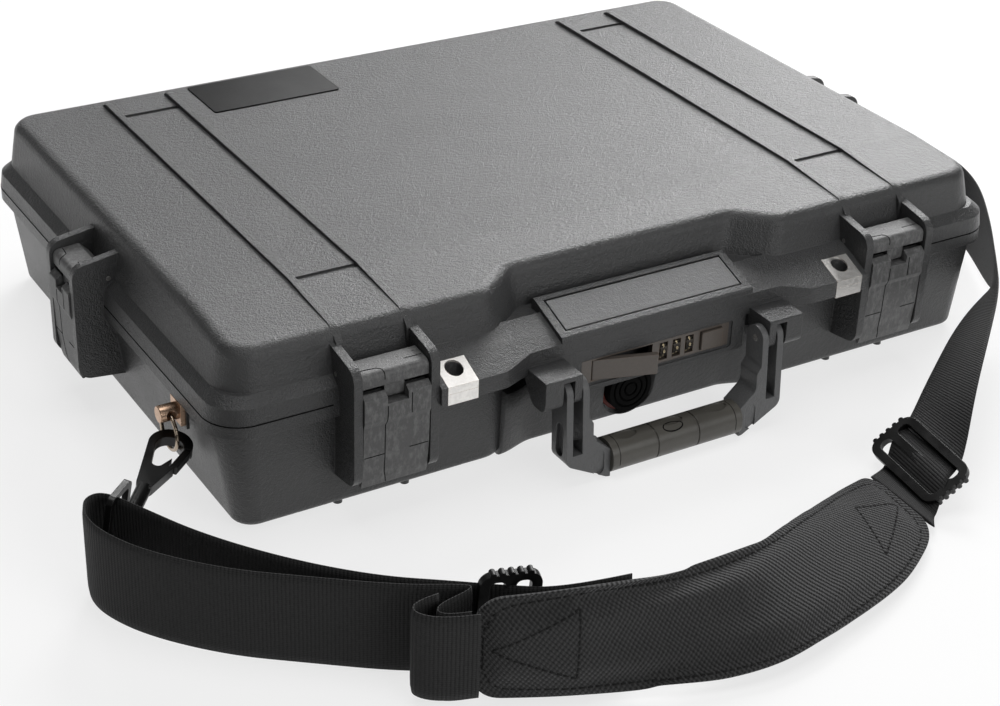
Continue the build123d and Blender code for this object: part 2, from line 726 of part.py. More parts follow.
for name, plane in latch_planes.items():
    half = latch_widths[name] / 2
    lug_half = lug_share * half

    with BuildPart() as link:
        with BuildSketch(plane):
            add(lobe(
                (link_pin_out, link_pin_height - eye_radius), (3.0, link_pin_height - 3.6),
                (link_front, 79.5), (link_front, 88.8), (-0.5, 90.0), (-6.2, 84.2),
                radius=[0, 0, 0, 3.5, 1.5, 0],
            ))
            with Locations(link_pin):
                Circle(eye_radius)
        extrude(amount=half, both=True)
        with BuildSketch(plane):
            with Locations(lever_pin):
                Circle(lever_clear_radius)
        extrude(amount=half, both=True, mode=Mode.SUBTRACT)
        with BuildSketch(plane):
            add(lobe(
                (lever_pin_out - eye_radius, lever_pin_height),
                (lever_pin_out + eye_radius, lever_pin_height),
                (lever_pin_out + eye_radius, 84), (lever_pin_out - eye_radius, 84),
                radius=[0, 0, 0, 0],
            ))
            with Locations(lever_pin):
                Circle(eye_radius)
        extrude(amount=lug_half, both=True)
        with BuildSketch(plane):
            with Locations(link_pin):
                Circle(latch_pin_radius + pin_play)
            with Locations(lever_pin):
                Circle(latch_pin_radius + pin_play)
        extrude(amount=half, both=True, mode=Mode.SUBTRACT)
    save(link, f"latch_link_{name}")

    with BuildPart() as lever:
        # grip plate, stepped in below the pin and tucked under at the foot
        with BuildSketch(plane):
            add(lobe(
                (lever_back, lever_pin_height + 3.8), (lever_front, lever_pin_height + 1.2),
                (lever_front, 62.5),
                (16.3, 59.5), (15.9, 41.4), (14.4, 27), (13.0, lever_foot), (11.0, lever_foot),
                (12.2, 41.4), (lever_back, 60),
                radius=[0, 0.8, 0.8, 0.8, 2, 3, 0.8, 0.8, 2, 0],
            ))
        extrude(amount=half, both=True)
        # knuckle round the pin
        with BuildSketch(plane):
            with Locations(lever_pin):
                Circle(eye_radius)
            add(lobe(
                (lever_pin_out, lever_pin_height + eye_radius), (lever_back + 0.5, lever_pin_height + 3),
                (lever_back + 0.5, lever_pin_height - 8), (lever_pin_out, lever_pin_height - eye_radius),
                radius=[0, 0, 0, 0],
            ))
        extrude(amount=half, both=True)
        # claw that bears on the catch of the base
        with BuildSketch(plane):
            add(lobe(
                (lever_back + 1, 58), (claw_tip, catch_top - 2),
                (claw_tip, catch_foot + 1), (lever_back + 1, 46),
                radius=[0, 1, 1, 0],
            ))
        extrude(amount=half - 3, both=True)
        # notch that clears the link's lug
        with BuildSketch(plane):
            with Locations((lever_front, lever_pin_height - eye_radius - 0.5)):
                Rectangle(2 * lever_front, 2 * lever_front, align=(Align.CENTER, Align.MIN))
        extrude(amount=lug_half + play, both=True, mode=Mode.SUBTRACT)
        with BuildSketch(plane):
            with Locations(lever_pin):
                Circle(latch_pin_radius)
        extrude(amount=half, both=True, mode=Mode.SUBTRACT)
    save(lever, f"latch_lever_{name}")

    with BuildPart() as upper_pin:
        with BuildSketch(plane):
            with Locations(link_pin):
                Circle(latch_pin_radius)
        extrude(amount=half + side_play + ear_thickness, both=True)
    save(upper_pin, f"latch_pin_upper_{name}")

    with BuildPart() as lower_pin:
        with BuildSketch(plane):
            with Locations(lever_pin):
                Circle(latch_pin_radius)
        extrude(amount=half - 0.5, both=True)
    save(lower_pin, f"latch_pin_lower_{name}")

# ---------------------------------------------------------------- carrying handle
frame_face = 71.0               # outer side of the handle's arms
prong_outer = 67.0
prong_inner_far = 60.9
prong_inner_near = 57.0
arm_near = 54.0
jog_height = 40.0
slot_foot = 19.0
chamfer_height = 14.0
chamfer_inset = 45.0
foot_shift = 3.9                # the handle's foot hangs in front of its pivot
core_side = 10.0
core_height = 9.8

with BuildPart() as handle_frame:
    with BuildSketch(Plane.XZ.offset(-handle_axis - 20)):
        with BuildLine():
            FilletPolyline(
                (-chamfer_inset, handle_foot), (chamfer_inset, handle_foot), (frame_face, chamfer_height),
                (frame_face, handle_axis_height + prong_radius),
                (prong_inner_near, handle_axis_height + prong_radius),
                (prong_inner_near, jog_height), (arm_near, jog_height - 4), (arm_near, 26), (grip_half, 17),
                (-grip_half, 17), (-arm_near, 26), (-arm_near, jog_height - 4),
                (-prong_inner_near, jog_height),
                (-prong_inner_near, handle_axis_height + prong_radius),
                (-frame_face, handle_axis_height + prong_radius), (-frame_face, chamfer_height),
                radius=[6, 6, 6, 0, 0, 3, 3, 6, 4, 4, 6, 3, 3, 0, 0, 6],
                close=True,
            )
        make_face()
    extrude(amount=40)
    # side profile: round at the pivot, leaning forward to the foot
    with BuildSketch(Plane.YZ):
        with BuildLine():
            l1 = Line((handle_axis - prong_radius, handle_axis_height),
                      (handle_axis - foot_shift - prong_radius, handle_foot))
            l2 = Line(l1 @ 1, (handle_axis - foot_shift + prong_radius, handle_foot))
            l3 = Line(l2 @ 1, (handle_axis + prong_radius, handle_axis_height))
            RadiusArc(l3 @ 1, l1 @ 0, -prong_radius)
        make_face()
    extrude(amount=frame_face + 1, both=True, mode=Mode.INTERSECT)
    # slots for the inner ears
    for side in (-1, 1):
        with BuildSketch(Plane.XZ.offset(-handle_axis - 20)):
            with Locations((side * (prong_outer + prong_inner_far) / 2, slot_foot)):
                Rectangle(prong_outer - prong_inner_far, 60, align=(Align.CENTER, Align.MIN))
        extrude(amount=40, mode=Mode.SUBTRACT)
    # room for the grip round its core
    with BuildSketch(Plane.YZ):
        with Locations((grip_line, grip_axis_height)):
            Rectangle(4 * grip_depth, 4 * grip_height)
            Rectangle(core_side, core_height, mode=Mode.SUBTRACT)
    extrude(amount=grip_half, both=True, mode=Mode.SUBTRACT)
    # hollows that lighten the arms
    for side in (-1, 1):
        with BuildSketch(Plane.XZ.offset(-handle_axis + foot_shift + prong_radius - 1.5)):
            with Locations((side * 50.5, 11)):
                SlotOverall(15, 7, rotation=90)
        extrude(amount=10, mode=Mode.SUBTRACT)
        with BuildSketch(Plane.YZ.offset(side * frame_face)):
            with Locations((handle_axis - foot_shift / 2 - 0.5, 27)):
                SlotOverall(20, 7, rotation=90)
        extrude(amount=-side * 2.5, mode=Mode.SUBTRACT)
    with BuildSketch(Plane.YZ):
        with Locations((handle_axis, handle_axis_height)):
            Circle(handle_pin_radius + pin_play)
    extrude(amount=frame_face + 1, both=True, mode=Mode.SUBTRACT)
save(handle_frame, "handle_frame")

with BuildPart() as handle_grip:
    with BuildSketch(Plane.YZ):
        with Locations((grip_line, grip_axis_height)):
            RectangleRounded(grip_depth, grip_height, 8.5)
            Rectangle(core_side, core_height, mode=Mode.SUBTRACT)
    extrude(amount=grip_half, both=True)
    # rings that part the grip into three
    for spot in (-grip_seam, grip_seam):
        with BuildSketch(Plane.YZ.offset(spot)):
            with Locations((grip_line, grip_axis_height)):
                RectangleRounded(grip_depth + 2, grip_height + 2, 8.5)
                RectangleRounded(grip_depth - 1.2, grip_height - 1.2, 7.9, mode=Mode.SUBTRACT)
        extrude(amount=0.5, both=True, mode=Mode.SUBTRACT)
    # thumb dimples along the top
    with BuildSketch(Plane.XY.offset(grip_axis_height + grip_height / 2 - 0.8)):
        with Locations((-30, grip_line), (0, grip_line), (30, grip_line)):
            Ellipse(7, 3.6)
    extrude(amount=3, mode=Mode.SUBTRACT)
save(handle_grip, "handle_grip")

for side, side_name in ((-1, "left"), (1, "right")):
    with BuildPart() as handle_pin:
        with BuildSketch(Plane.YZ.offset(side * prong_inner_near)):
            with Locations((handle_axis, handle_axis_height)):
                Circle(handle_pin_radius)
        extrude(amount=side * (outer_ear_to - 3 - prong_inner_near))
    save(handle_pin, f"handle_pin_{side_name}")

# ---------------------------------------------------------------- combination lock
lock_middle = (lock_foot + lock_head) / 2
lever_pivot_y = lock_face + 1.5
lever_pivot_x = lock_lever_left + 1.6
dial_axis_y = lock_face + dial_radius - 0.7
lock_window_height = lock_lever_height + 0.5

with BuildPart() as lock_plate:
    with BuildSketch(Plane.XZ.offset(-lock_face)):
        with Locations((0, lock_middle)):
            Rectangle(2 * lock_half, lock_head - lock_foot)
        with Locations((lever_pivot_x + lock_lever_length / 2 - 0.6, lock_middle)):
            Rectangle(lock_lever_length + 3.4, lock_window_height, mode=Mode.SUBTRACT)
        with Locations(*[(spot, lock_middle) for spot in dial_spots]):
            Rectangle(dial_width + 0.8, 2 * dial_radius, mode=Mode.SUBTRACT)
        with Locations((button_spot, lock_middle)):
            Rectangle(button_width + 2 * play, button_height + 2 * play, mode=Mode.SUBTRACT)
    extrude(amount=-lock_plate_thickness)
    # cheeks that hold the axle of the dials
    for spot in (dial_spots[0] - 4.4, dial_spots[-1] + 4.4):
        with BuildSketch(Plane.YZ.offset(spot)):
            with Locations((lock_face + lock_plate_thickness, lock_middle)):
                Rectangle(4.5, 8, align=(Align.MIN, Align.CENTER))
        extrude(amount=0.8, both=True)
    with BuildSketch(Plane.YZ.offset(dial_spots[0] - 6)):
        with Locations((dial_axis_y, lock_middle)):
            Circle(dial_axle_radius)
    extrude(amount=dial_spots[-1] - dial_spots[0] + 12, mode=Mode.SUBTRACT)
    with BuildSketch(Plane.XY.offset(lock_foot)):
        with Locations((lever_pivot_x, lever_pivot_y)):
            Circle(lock_pin_radius)
    extrude(amount=lock_head - lock_foot, mode=Mode.SUBTRACT)
save(lock_plate, "lock_plate")

lock_lever_plane = Plane(
    origin=(lever_pivot_x, lever_pivot_y, lock_middle),
    x_dir=(math.cos(math.radians(lock_lever_angle)), -math.sin(math.radians(lock_lever_angle)), 0),
    z_dir=(0, 0, 1),
)
with BuildPart() as lock_lever:
    with BuildSketch(lock_lever_plane):
        add(lobe(
            (-1.6, -1.7), (lock_lever_length, -1.7), (lock_lever_length, lock_lever_thickness - 1.7),
            (-1.6, lock_lever_thickness - 1.7),
            radius=[1, 0.5, 0.5, 1],
        ))
        Circle(lock_pin_radius + pin_play, mode=Mode.SUBTRACT)
    extrude(amount=lock_lever_height / 2, both=True)
save(lock_lever, "lock_lever")

with BuildPart() as lock_lever_pin:
    with BuildSketch(Plane.XY.offset(lock_foot)):
        with Locations((lever_pivot_x, lever_pivot_y)):
            Circle(lock_pin_radius)
    extrude(amount=lock_head - lock_foot)
save(lock_lever_pin, "lock_lever_pin")

for number, spot in enumerate(dial_spots, start=1):
    with BuildPart() as dial:
        with BuildSketch(Plane.YZ.offset(spot)):
            with Locations((dial_axis_y, lock_middle)):
                Circle(dial_radius)
            with Locations(Location((dial_axis_y, lock_middle))):
                with PolarLocations(dial_radius, dial_notches):
                    Circle(0.5, mode=Mode.SUBTRACT)
            with Locations((dial_axis_y, lock_middle)):
                Circle(dial_axle_radius + pin_play, mode=Mode.SUBTRACT)
        extrude(amount=dial_width / 2, both=True)
    save(dial, f"lock_dial_{number}")

with BuildPart() as dial_axle:
    with BuildSketch(Plane.YZ.offset(dial_spots[0] - 5.2)):
        with Locations((dial_axis_y, lock_middle)):
            Circle(dial_axle_radius)
    extrude(amount=dial_spots[-1] - dial_spots[0] + 10.4)
save(dial_axle, "dial_axle")

with BuildPart() as lock_button:
    with BuildSketch(Plane.XZ.offset(-lock_face + button_proud)):
        with Locations((button_spot, lock_middle)):
            RectangleRounded(button_width, button_height, 0.8)
    extrude(amount=-button_proud - lock_plate_thickness - play)
    with BuildSketch(Plane.XZ.offset(-lock_face - lock_plate_thickness - play)):
        with Locations((button_spot, lock_middle)):
            Rectangle(button_width + 2.4, button_height + 0.4)
    extrude(amount=-1.2)
save(lock_button, "lock_button")

# ---------------------------------------------------------------- purge valve
valve_plane = Plane(origin=(0, valve_wall - valve_boss, valve_height), x_dir=(1, 0, 0), z_dir=(0, -1, 0))
with BuildPart() as valve_seal:
    with BuildSketch(valve_plane):
        Circle(valve_seal_radius)
        Circle(valve_stem_radius, mode=Mode.SUBTRACT)
    extrude(amount=valve_seal_thickness)
save(valve_seal, "valve_seal")

with BuildPart() as valve_body:
    with BuildSketch(valve_plane):
        Circle(valve_stem_radius)
    extrude(amount=valve_seal_thickness)
    with BuildSketch(valve_plane.offset(valve_seal_thickness)):
        Circle(valve_radius)
    extrude(amount=valve_cap_thickness)
    with BuildSketch(valve_plane.offset(valve_seal_thickness + valve_cap_thickness)):
        for ring in (valve_radius - 2.5, valve_radius - 6, valve_radius - 9.5):
            Circle(ring)
            Circle(ring - 1.2, mode=Mode.SUBTRACT)
    extrude(amount=-1.0, mode=Mode.SUBTRACT)
save(valve_body, "valve_body")

# ---------------------------------------------------------------- studs, rings and snap hooks
def chain_plane(top, foot, facing):
    """Plane of a hook: x from its top to its foot, normal as near as can be to facing."""
    along = (foot - top).normalized()
    normal = facing - along * facing.dot(along)
    return Plane(origin=top, x_dir=along, z_dir=normal)


def hook_outline():
    """Outline of a hook in its own plane, x from the top towards the swivel."""
    with BuildSketch() as outline:
        with Locations((8.5, 3)):
            Circle(11.5)
        with Locations((hook_length - 3, 0)):
            Circle(swivel_radius + 0.5)
        make_hull()
    return outline.sketch


def hook_mouth():
    """The eye inside a hook's outline."""
    with BuildSketch() as mouth:
        with Locations((10.5, 3)):
            Circle(7.3)
        with Locations((24, 1)):
            Circle(3)
        make_hull()
    return mouth.sketch


gate_gap = (17, 13)
ring_spot = half_length + stud_eye
loop_inside = webbing_width + 2 * loop_clear
ring_height = stud_height - ring_radius - 0.4
hook_top_height = ring_height - ring_radius + ring_wire + hook_depth / 2 + hook_lift
chains = {
    "left": {
        "side": -1,
        "foot": Vector(-295, -155, 29.5),
        "facing": Vector(0.07, -0.19, 0.98),
        "bar": Vector(-318, -176, 28.4),
        "bar_up": Vector(6, -5, 46),
    },
    "right": {
        "side": 1,
        "foot": Vector(295, -66, 29.5),
        "facing": Vector(-0.07, 0.19, 0.98),
        "bar": Vector(318, -45, 28.4),
        "bar_up": Vector(-6, 5, 46),
    },
}

for name, chain in chains.items():
    side = chain["side"]
    with BuildPart() as stud:
        with BuildSketch(Plane.YZ.offset(side * (half_length - stud_seat_inset))):
            with Locations((stud_spot, stud_height)):
                Rectangle(stud_plate, stud_plate)
        extrude(amount=side * stud_plate_thickness)
        with BuildSketch(Plane.YZ.offset(side * (half_length - stud_seat_inset))):
            with Locations((stud_spot, stud_height)):
                Circle(stud_radius)
        extrude(amount=side * (stud_seat_inset + stud_reach))
        fillet(stud.edges().filter_by(GeomType.CIRCLE).sort_by(lambda e: abs(e.center().X))[-1], 0.8)
        with BuildSketch(Plane.XZ.offset(-stud_spot)):
            with Locations((side * ring_spot, stud_height)):
                Circle(stud_eye)
        extrude(amount=2 * stud_radius, both=True, mode=Mode.SUBTRACT)
    save(stud, f"strap_stud_{name}")

    with BuildPart() as ring:
        with BuildSketch(Plane.XY.offset(ring_height)):
            with Locations((side * ring_spot, stud_spot + ring_radius)):
                Circle(ring_wire)
        revolve(axis=Axis((side * ring_spot, stud_spot, ring_height), (1, 0, 0)), revolution_arc=360)
    save(ring, f"strap_ring_{name}")

    top = Vector(side * ring_spot, stud_spot, hook_top_height)
    hook_plane = chain_plane(top, chain["foot"], chain["facing"])
    reach = (chain["foot"] - top).length
    with BuildPart() as hook:
        with BuildSketch(hook_plane):
            add(hook_outline())
            add(hook_mouth(), mode=Mode.SUBTRACT)
        extrude(amount=hook_depth / 2, both=True)
        # opening that the gate closes
        with BuildSketch(hook_plane):
            with Locations(gate_gap):
                Rectangle(16, 12)
        extrude(amount=hook_depth, both=True, mode=Mode.SUBTRACT)
        # swivel barrel
        with BuildSketch(Plane(origin=hook_plane.origin + hook_plane.x_dir * (hook_length - 2),
                               z_dir=hook_plane.x_dir)):
            Circle(swivel_radius)
        extrude(amount=reach - hook_length + 2)
    save(hook, f"snap_hook_{name}")

    with BuildPart() as gate:
        with BuildSketch(hook_plane):
            add(lobe(
                (10.4, 14.0), (24.2, 11.3), (24.2, 7.5), (9.5, 10.5),
                radius=[0.6, 0.6, 0.6, 0.6],
            ))
        extrude(amount=hook_depth / 2 - 0.6, both=True)
    save(gate, f"snap_gate_{name}")

    bar_up = chain["bar_up"].normalized()
    to_hook = chain["foot"] - chain["bar"]
    to_hook = (to_hook - bar_up * to_hook.dot(bar_up))
    loop_plane = Plane(origin=chain["bar"], x_dir=to_hook, z_dir=to_hook.cross(bar_up))
    with BuildPart() as strap_loop:
        with BuildSketch(loop_plane):
            with Locations((loop_depth / 2, 0)):
                RectangleRounded(loop_depth + loop_wire, loop_inside + 2 * loop_wire, 4)
                RectangleRounded(loop_depth - loop_wire, loop_inside, 2.5, mode=Mode.SUBTRACT)
        extrude(amount=loop_wire / 2, both=True)
        with BuildSketch(Plane(origin=chain["bar"] + loop_plane.x_dir * loop_depth, z_dir=loop_plane.x_dir)):
            Circle(3)
        extrude(amount=to_hook.length - loop_depth - swivel_gap)
    save(strap_loop, f"strap_loop_{name}")

# ---------------------------------------------------------------- webbing, sliders and pad
with BuildPart() as webbing_left:
    with BuildSketch(Plane.XY.offset(webbing_lift)):
        with BuildLine() as route:
            FilletPolyline(*left_route, radius=left_bends)
        trace(route.line, webbing_thickness)
    extrude(amount=webbing_width)
save(webbing_left, "webbing_left")

right_spots = [Vector(*spot) for spot, across in right_route]
with BuildPart() as webbing_right:
    for i, (spot, across) in enumerate(right_route):
        before = right_spots[max(i - 1, 0)]
        after = right_spots[min(i + 1, len(right_spots) - 1)]
        level = Vector(*across).normalized()
        ahead = (after - before) - level * level.dot(after - before)
        with BuildSketch(Plane(origin=spot, x_dir=level, z_dir=ahead)):
            Rectangle(webbing_width, webbing_thickness)
    loft(ruled=True)
save(webbing_right, "webbing_right")


def slider(plane):
    """Three-bar slider: a ribbed frame with a middle bar, lying in the plane."""
    slot_width = (slider_width - 3 * slider_bar) / 2
    slot_length = webbing_width + loop_clear
    with BuildPart() as piece:
        with BuildSketch(plane):
            RectangleRounded(slider_length, slider_width, 7)
            with Locations((0, -(slot_width + slider_bar) / 2), (0, (slot_width + slider_bar) / 2)):
                RectangleRounded(slot_length, slot_width, 3, mode=Mode.SUBTRACT)
        extrude(amount=slider_thickness / 2, both=True)
        with BuildSketch(plane):
            for end in (-1, 1):
                with Locations(*[(end * slider_length / 2, 3 * slider_rib * i) for i in range(-2, 3)]):
                    Circle(slider_rib)
        extrude(amount=slider_thickness / 2, both=True)
    return piece


left_slider_plane = Plane(origin=slider_centres["left"], x_dir=(0, -0.12, 1), z_dir=(0.28, 1, 0.12))
right_slider_plane = Plane(origin=slider_centres["right"], x_dir=(0.1, 0.99, 0.03), z_dir=(-0.574, 0, 0.819))
save(slider(left_slider_plane), "slider_left")
save(slider(right_slider_plane), "slider_right")

with BuildPart() as shoulder_pad:
    for foot, head in pad_stations:
        up = Vector(*head) - Vector(*foot)
        middle = (Vector(*foot) + Vector(*head)) * 0.5
        with BuildSketch(Plane(origin=middle, x_dir=up, z_dir=(1, 0, 0))):
            Rectangle(up.length, pad_thickness)
    loft(ruled=True)
save(shoulder_pad, "shoulder_pad")

# ---------------------------------------------------------------- foam linings
with BuildPart() as base_foam:
    foot_half = half_length - base_foot_inset_x - wall - foam_clear
    foot_depth = half_depth - base_foot_inset_y - wall - foam_clear
    rim_half = seal_line - foam_clear
    rim_depth_half = seal_line_y - foam_clear
    with BuildSketch(Plane.XY.offset(base_bottom + floor_thickness + foam_clear)):
        add(case_plan(foot_half, foot_depth, foot_depth, base_corner_foot - wall, wall + foam_clear))
    with BuildSketch(Plane.XY.offset(parting)):
        add(case_plan(rim_half, rim_depth_half, rim_depth_half, cavity_corner, wall + foam_clear))
    loft(ruled=True)
    # pocket for the computer, with finger notches
    with BuildSketch(Plane.XY.offset(parting)):
        RectangleRounded(pocket_length, pocket_depth, 6)
        with Locations((-pocket_length / 2, 0), (pocket_length / 2, 0)):
            Circle(notch_radius)
    extrude(amount=-pocket_height, mode=Mode.SUBTRACT)
save(base_foam, "base_foam")

with BuildPart() as lid_foam:
    foam_top = lid_top - lid_top_thickness - foam_clear
    with BuildSketch(Plane.XY.offset(parting)):
        add(case_plan(rim_half, rim_depth_half, rim_depth_half, dome_corner - wall, wall + foam_clear))
    extrude(amount=foam_top - parting, taper=dome_draft / 2)
    split(bisect_by=Plane.XY.offset(foam_top - lid_foam_thickness), keep=Keep.TOP)
save(lid_foam, "lid_foam")
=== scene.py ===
"""Hard laptop case with its shoulder strap: materials, soft parts, small details, light and camera."""
import math

import bmesh
import bpy
from mathutils import Matrix, Vector
from mathutils.bvhtree import BVHTree


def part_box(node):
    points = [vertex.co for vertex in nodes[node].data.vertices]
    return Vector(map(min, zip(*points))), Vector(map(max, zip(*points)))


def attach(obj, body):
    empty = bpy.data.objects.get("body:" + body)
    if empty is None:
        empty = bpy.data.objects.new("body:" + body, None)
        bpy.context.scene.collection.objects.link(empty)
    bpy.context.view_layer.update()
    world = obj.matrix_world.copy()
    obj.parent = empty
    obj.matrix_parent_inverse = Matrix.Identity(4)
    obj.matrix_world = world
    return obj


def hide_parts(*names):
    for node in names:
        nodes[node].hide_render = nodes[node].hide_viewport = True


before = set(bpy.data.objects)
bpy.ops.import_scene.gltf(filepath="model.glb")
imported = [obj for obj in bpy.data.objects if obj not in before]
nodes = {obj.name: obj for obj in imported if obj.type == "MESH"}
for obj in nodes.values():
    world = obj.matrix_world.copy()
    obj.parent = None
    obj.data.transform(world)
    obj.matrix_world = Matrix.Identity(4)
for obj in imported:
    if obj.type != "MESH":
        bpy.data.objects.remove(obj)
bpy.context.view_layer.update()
scene = bpy.context.scene
MM = 0.001

# ------------------------------------------------------------------ camera
PHOTO_WIDTH = 1000                 # pixels
FOCAL_PIXELS = 2050.8
SENSOR = 36.0
AZIMUTH = math.radians(-31.90)     # turn of the view about +Z, 0 looks along +Y
ELEVATION = math.radians(29.68)
ROLL = math.radians(2.14)
AIM = Vector((0.0, 0.0, 0.060))                          # a point of the case, metres
AIM_IN_VIEW = Vector((-0.00654, 0.08504, -1.24827))      # and where the camera's own axes see it


def make_camera():
    """The camera of the photograph, fitted to the case's straight edges."""
    back = Vector((math.sin(AZIMUTH) * math.cos(ELEVATION), -math.cos(AZIMUTH) * math.cos(ELEVATION),
                   math.sin(ELEVATION)))
    level = Vector((math.cos(AZIMUTH), math.sin(AZIMUTH), 0))
    upright = back.cross(level)
    right = level * math.cos(ROLL) + upright * math.sin(ROLL)
    up = upright * math.cos(ROLL) - level * math.sin(ROLL)
    place = AIM - right * AIM_IN_VIEW.x - up * AIM_IN_VIEW.y - back * AIM_IN_VIEW.z
    data = bpy.data.cameras.new("camera")
    data.sensor_width = SENSOR
    data.lens = FOCAL_PIXELS / PHOTO_WIDTH * SENSOR
    camera = bpy.data.objects.new("camera", data)
    axes = Matrix((right, up, back)).transposed().to_4x4()
    camera.matrix_world = Matrix.Translation(place) @ axes
    scene.collection.objects.link(camera)
    scene.camera = camera


# ------------------------------------------------------------------ node helpers
BEVEL_SAMPLES = 4
EDGE_COSINE = 0.80         # between the real and the rounded normal, where the edge counts in full
FACE_COSINE = 0.985        # and where it no longer counts


class Graph:
    """A material's node tree with short calls for the nodes used here."""

    def __init__(self, name):
        self.material = bpy.data.materials.new(name)
        self.material.use_nodes = True
        self.tree = self.material.node_tree
        self.shader = self.tree.nodes["Principled BSDF"]

    def node(self, kind, **inputs):
        """A new node with its inputs set or linked by name."""
        made = self.tree.nodes.new(kind)
        for key, value in inputs.items():
            self.put(value, made.inputs[key.replace("_", " ")])
        return made

    def put(self, value, socket):
        """Links a socket to an input, or sets the input to a value."""
        if isinstance(value, bpy.types.NodeSocket):
            self.tree.links.new(value, socket)
        else:
            socket.default_value = value

    def set(self, **inputs):
        """Sets or links inputs of the shader."""
        for key, value in inputs.items():
            self.put(value, self.shader.inputs[key.replace("_", " ")])

    def object_point(self):
        """Place in the piece's own coordinates, metres."""
        return self.node("ShaderNodeTexCoord").outputs["Object"]

    def noise(self, point, scale, detail=3.0, rough=0.55):
        """Soft noise from 0 to 1."""
        made = self.node("ShaderNodeTexNoise", Vector=point, Scale=scale, Detail=detail, Roughness=rough)
        return made.outputs["Fac"]

    def ramp(self, value, low, high, from_low=0.35, from_high=0.65):
        """A value between from_low and from_high, spread over low to high."""
        made = self.node("ShaderNodeMapRange", Value=value, From_Min=from_low, From_Max=from_high,
                         To_Min=low, To_Max=high)
        return made.outputs["Result"]

    def math(self, operation, a, b=0.0):
        """Sum, product or other operation on two values or sockets."""
        made = self.tree.nodes.new("ShaderNodeMath")
        made.operation = operation
        self.put(a, made.inputs[0])
        self.put(b, made.inputs[1])
        return made.outputs[0]

    def mix(self, share, a, b):
        """Colour a turning into colour b with a share from 0 to 1."""
        made = self.tree.nodes.new("ShaderNodeMix")
        made.data_type = "RGBA"
        self.put(share, made.inputs[0])
        self.put(a, made.inputs[6])
        self.put(b, made.inputs[7])
        return made.outputs[2]

    def edges(self, radius):
        """A mask that is 1 on sharp edges and 0 on faces, and the rounded normal."""
        bevel = self.node("ShaderNodeBevel", Radius=radius)
        bevel.samples = BEVEL_SAMPLES
        geometry = self.tree.nodes.new("ShaderNodeNewGeometry")
        dot = self.tree.nodes.new("ShaderNodeVectorMath")
        dot.operation = "DOT_PRODUCT"
        self.tree.links.new(bevel.outputs[0], dot.inputs[0])
        self.tree.links.new(geometry.outputs["Normal"], dot.inputs[1])
        mask = self.ramp(dot.outputs["Value"], 1.0, 0.0, EDGE_COSINE, FACE_COSINE)
        return mask, bevel.outputs[0]

    def bump(self, height, distance, strength=1.0, normal=None):
        """Relief on the shader's normal; distance is its height in metres."""
        made = self.node("ShaderNodeBump", Height=height, Distance=distance, Strength=strength)
        if normal is not None:
            self.put(normal, made.inputs["Normal"])
        self.put(made.outputs[0], self.shader.inputs["Normal"])


def grey(level, tint=(1.0, 1.0, 1.0)):
    """A grey of a linear level as RGBA, tinted or not."""
    return (level * tint[0], level * tint[1], level * tint[2], 1.0)


# ------------------------------------------------------------------ materials
COOL = (0.99, 1.0, 1.015)              # tint of the black plastics
COARSE_GRAIN = 3.1                     # the coarse grain is this many times as wide as the fine one
SHEEN_TINT = (0.6, 0.6, 0.62, 1.0)     # of both cloths
RIB_PITCH = 0.0019                     # weft ribs of the webbing, metres
WARP_PITCH = 0.0011                    # its lengthwise threads
PAD_PITCH = 0.0026                     # weave of the pad
PAD_SLANT = 0.62                       # how steeply its second thread runs
PAD_WOBBLE = 0.0012                    # share of noise that makes its threads uneven


def brighter(colour, factor):
    """A colour times a factor, as RGBA, with no part above 1."""
    return (*[min(part * factor, 1.0) for part in colour], 1.0)


def moulded(name, level, rough, grain=1250.0, depth=0.00022, tint=COOL, scuff=0.35,
            edge=0.0007, gloss=0.5, worn=None):
    """Textured moulded plastic: two grains, a cloudy sheen and lighter worn edges.

    grain is the noise scale, depth the height of the grain, scuff how strongly the edges are worn,
    edge the radius by which edges look rounded, worn the colour of bare edges.
    """
    g = Graph(name)
    point = g.object_point()
    cloud = g.noise(point, 14.0, 4.0)
    fine = g.noise(point, grain, 2.0, 0.6)
    coarse = g.noise(point, grain / COARSE_GRAIN, 2.0)
    wear, rounded = g.edges(edge)
    base = g.mix(g.ramp(cloud, 0.0, 1.0), grey(level * 0.94, tint), grey(level * 1.08, tint))
    base = g.mix(g.ramp(fine, 0.0, 0.5), base, grey(level * 0.72, tint))
    scratch = g.math("MULTIPLY", wear, g.ramp(g.noise(point, 160.0), 0.3, 1.0))
    base = g.mix(g.math("MULTIPLY", scratch, scuff), base, worn or grey(min(level * 3.0, 0.4), tint))
    g.set(Base_Color=base, Roughness=g.ramp(g.noise(point, 45.0, 4.0), rough - 0.015, rough + 0.025),
          Specular_IOR_Level=gloss)
    height = g.math("ADD", g.math("MULTIPLY", fine, 0.6), g.math("MULTIPLY", coarse, 0.5))
    g.bump(height, depth, 0.9, rounded)
    return g.material


def mottled(name, level):
    """Latch plastic with pale cloudy marks from its moulding."""
    g = Graph(name)
    point = g.object_point()
    stretch = g.node("ShaderNodeMapping", Vector=point, Scale=(1.0, 1.0, 0.45)).outputs[0]
    patch = g.noise(stretch, 420.0, 5.0, 0.7)
    fine = g.noise(point, 1200.0, 2.0)
    wear, rounded = g.edges(0.0007)
    base = g.mix(g.ramp(patch, 0.0, 1.0, 0.46, 0.66), grey(level), grey(level * 2.0))
    base = g.mix(g.math("MULTIPLY", wear, 0.5), base, grey(level * 3.0))
    g.set(Base_Color=base, Roughness=g.ramp(patch, 0.40, 0.58))
    g.bump(g.math("ADD", fine, g.math("MULTIPLY", patch, 0.5)), 0.00020, 0.9, rounded)
    return g.material


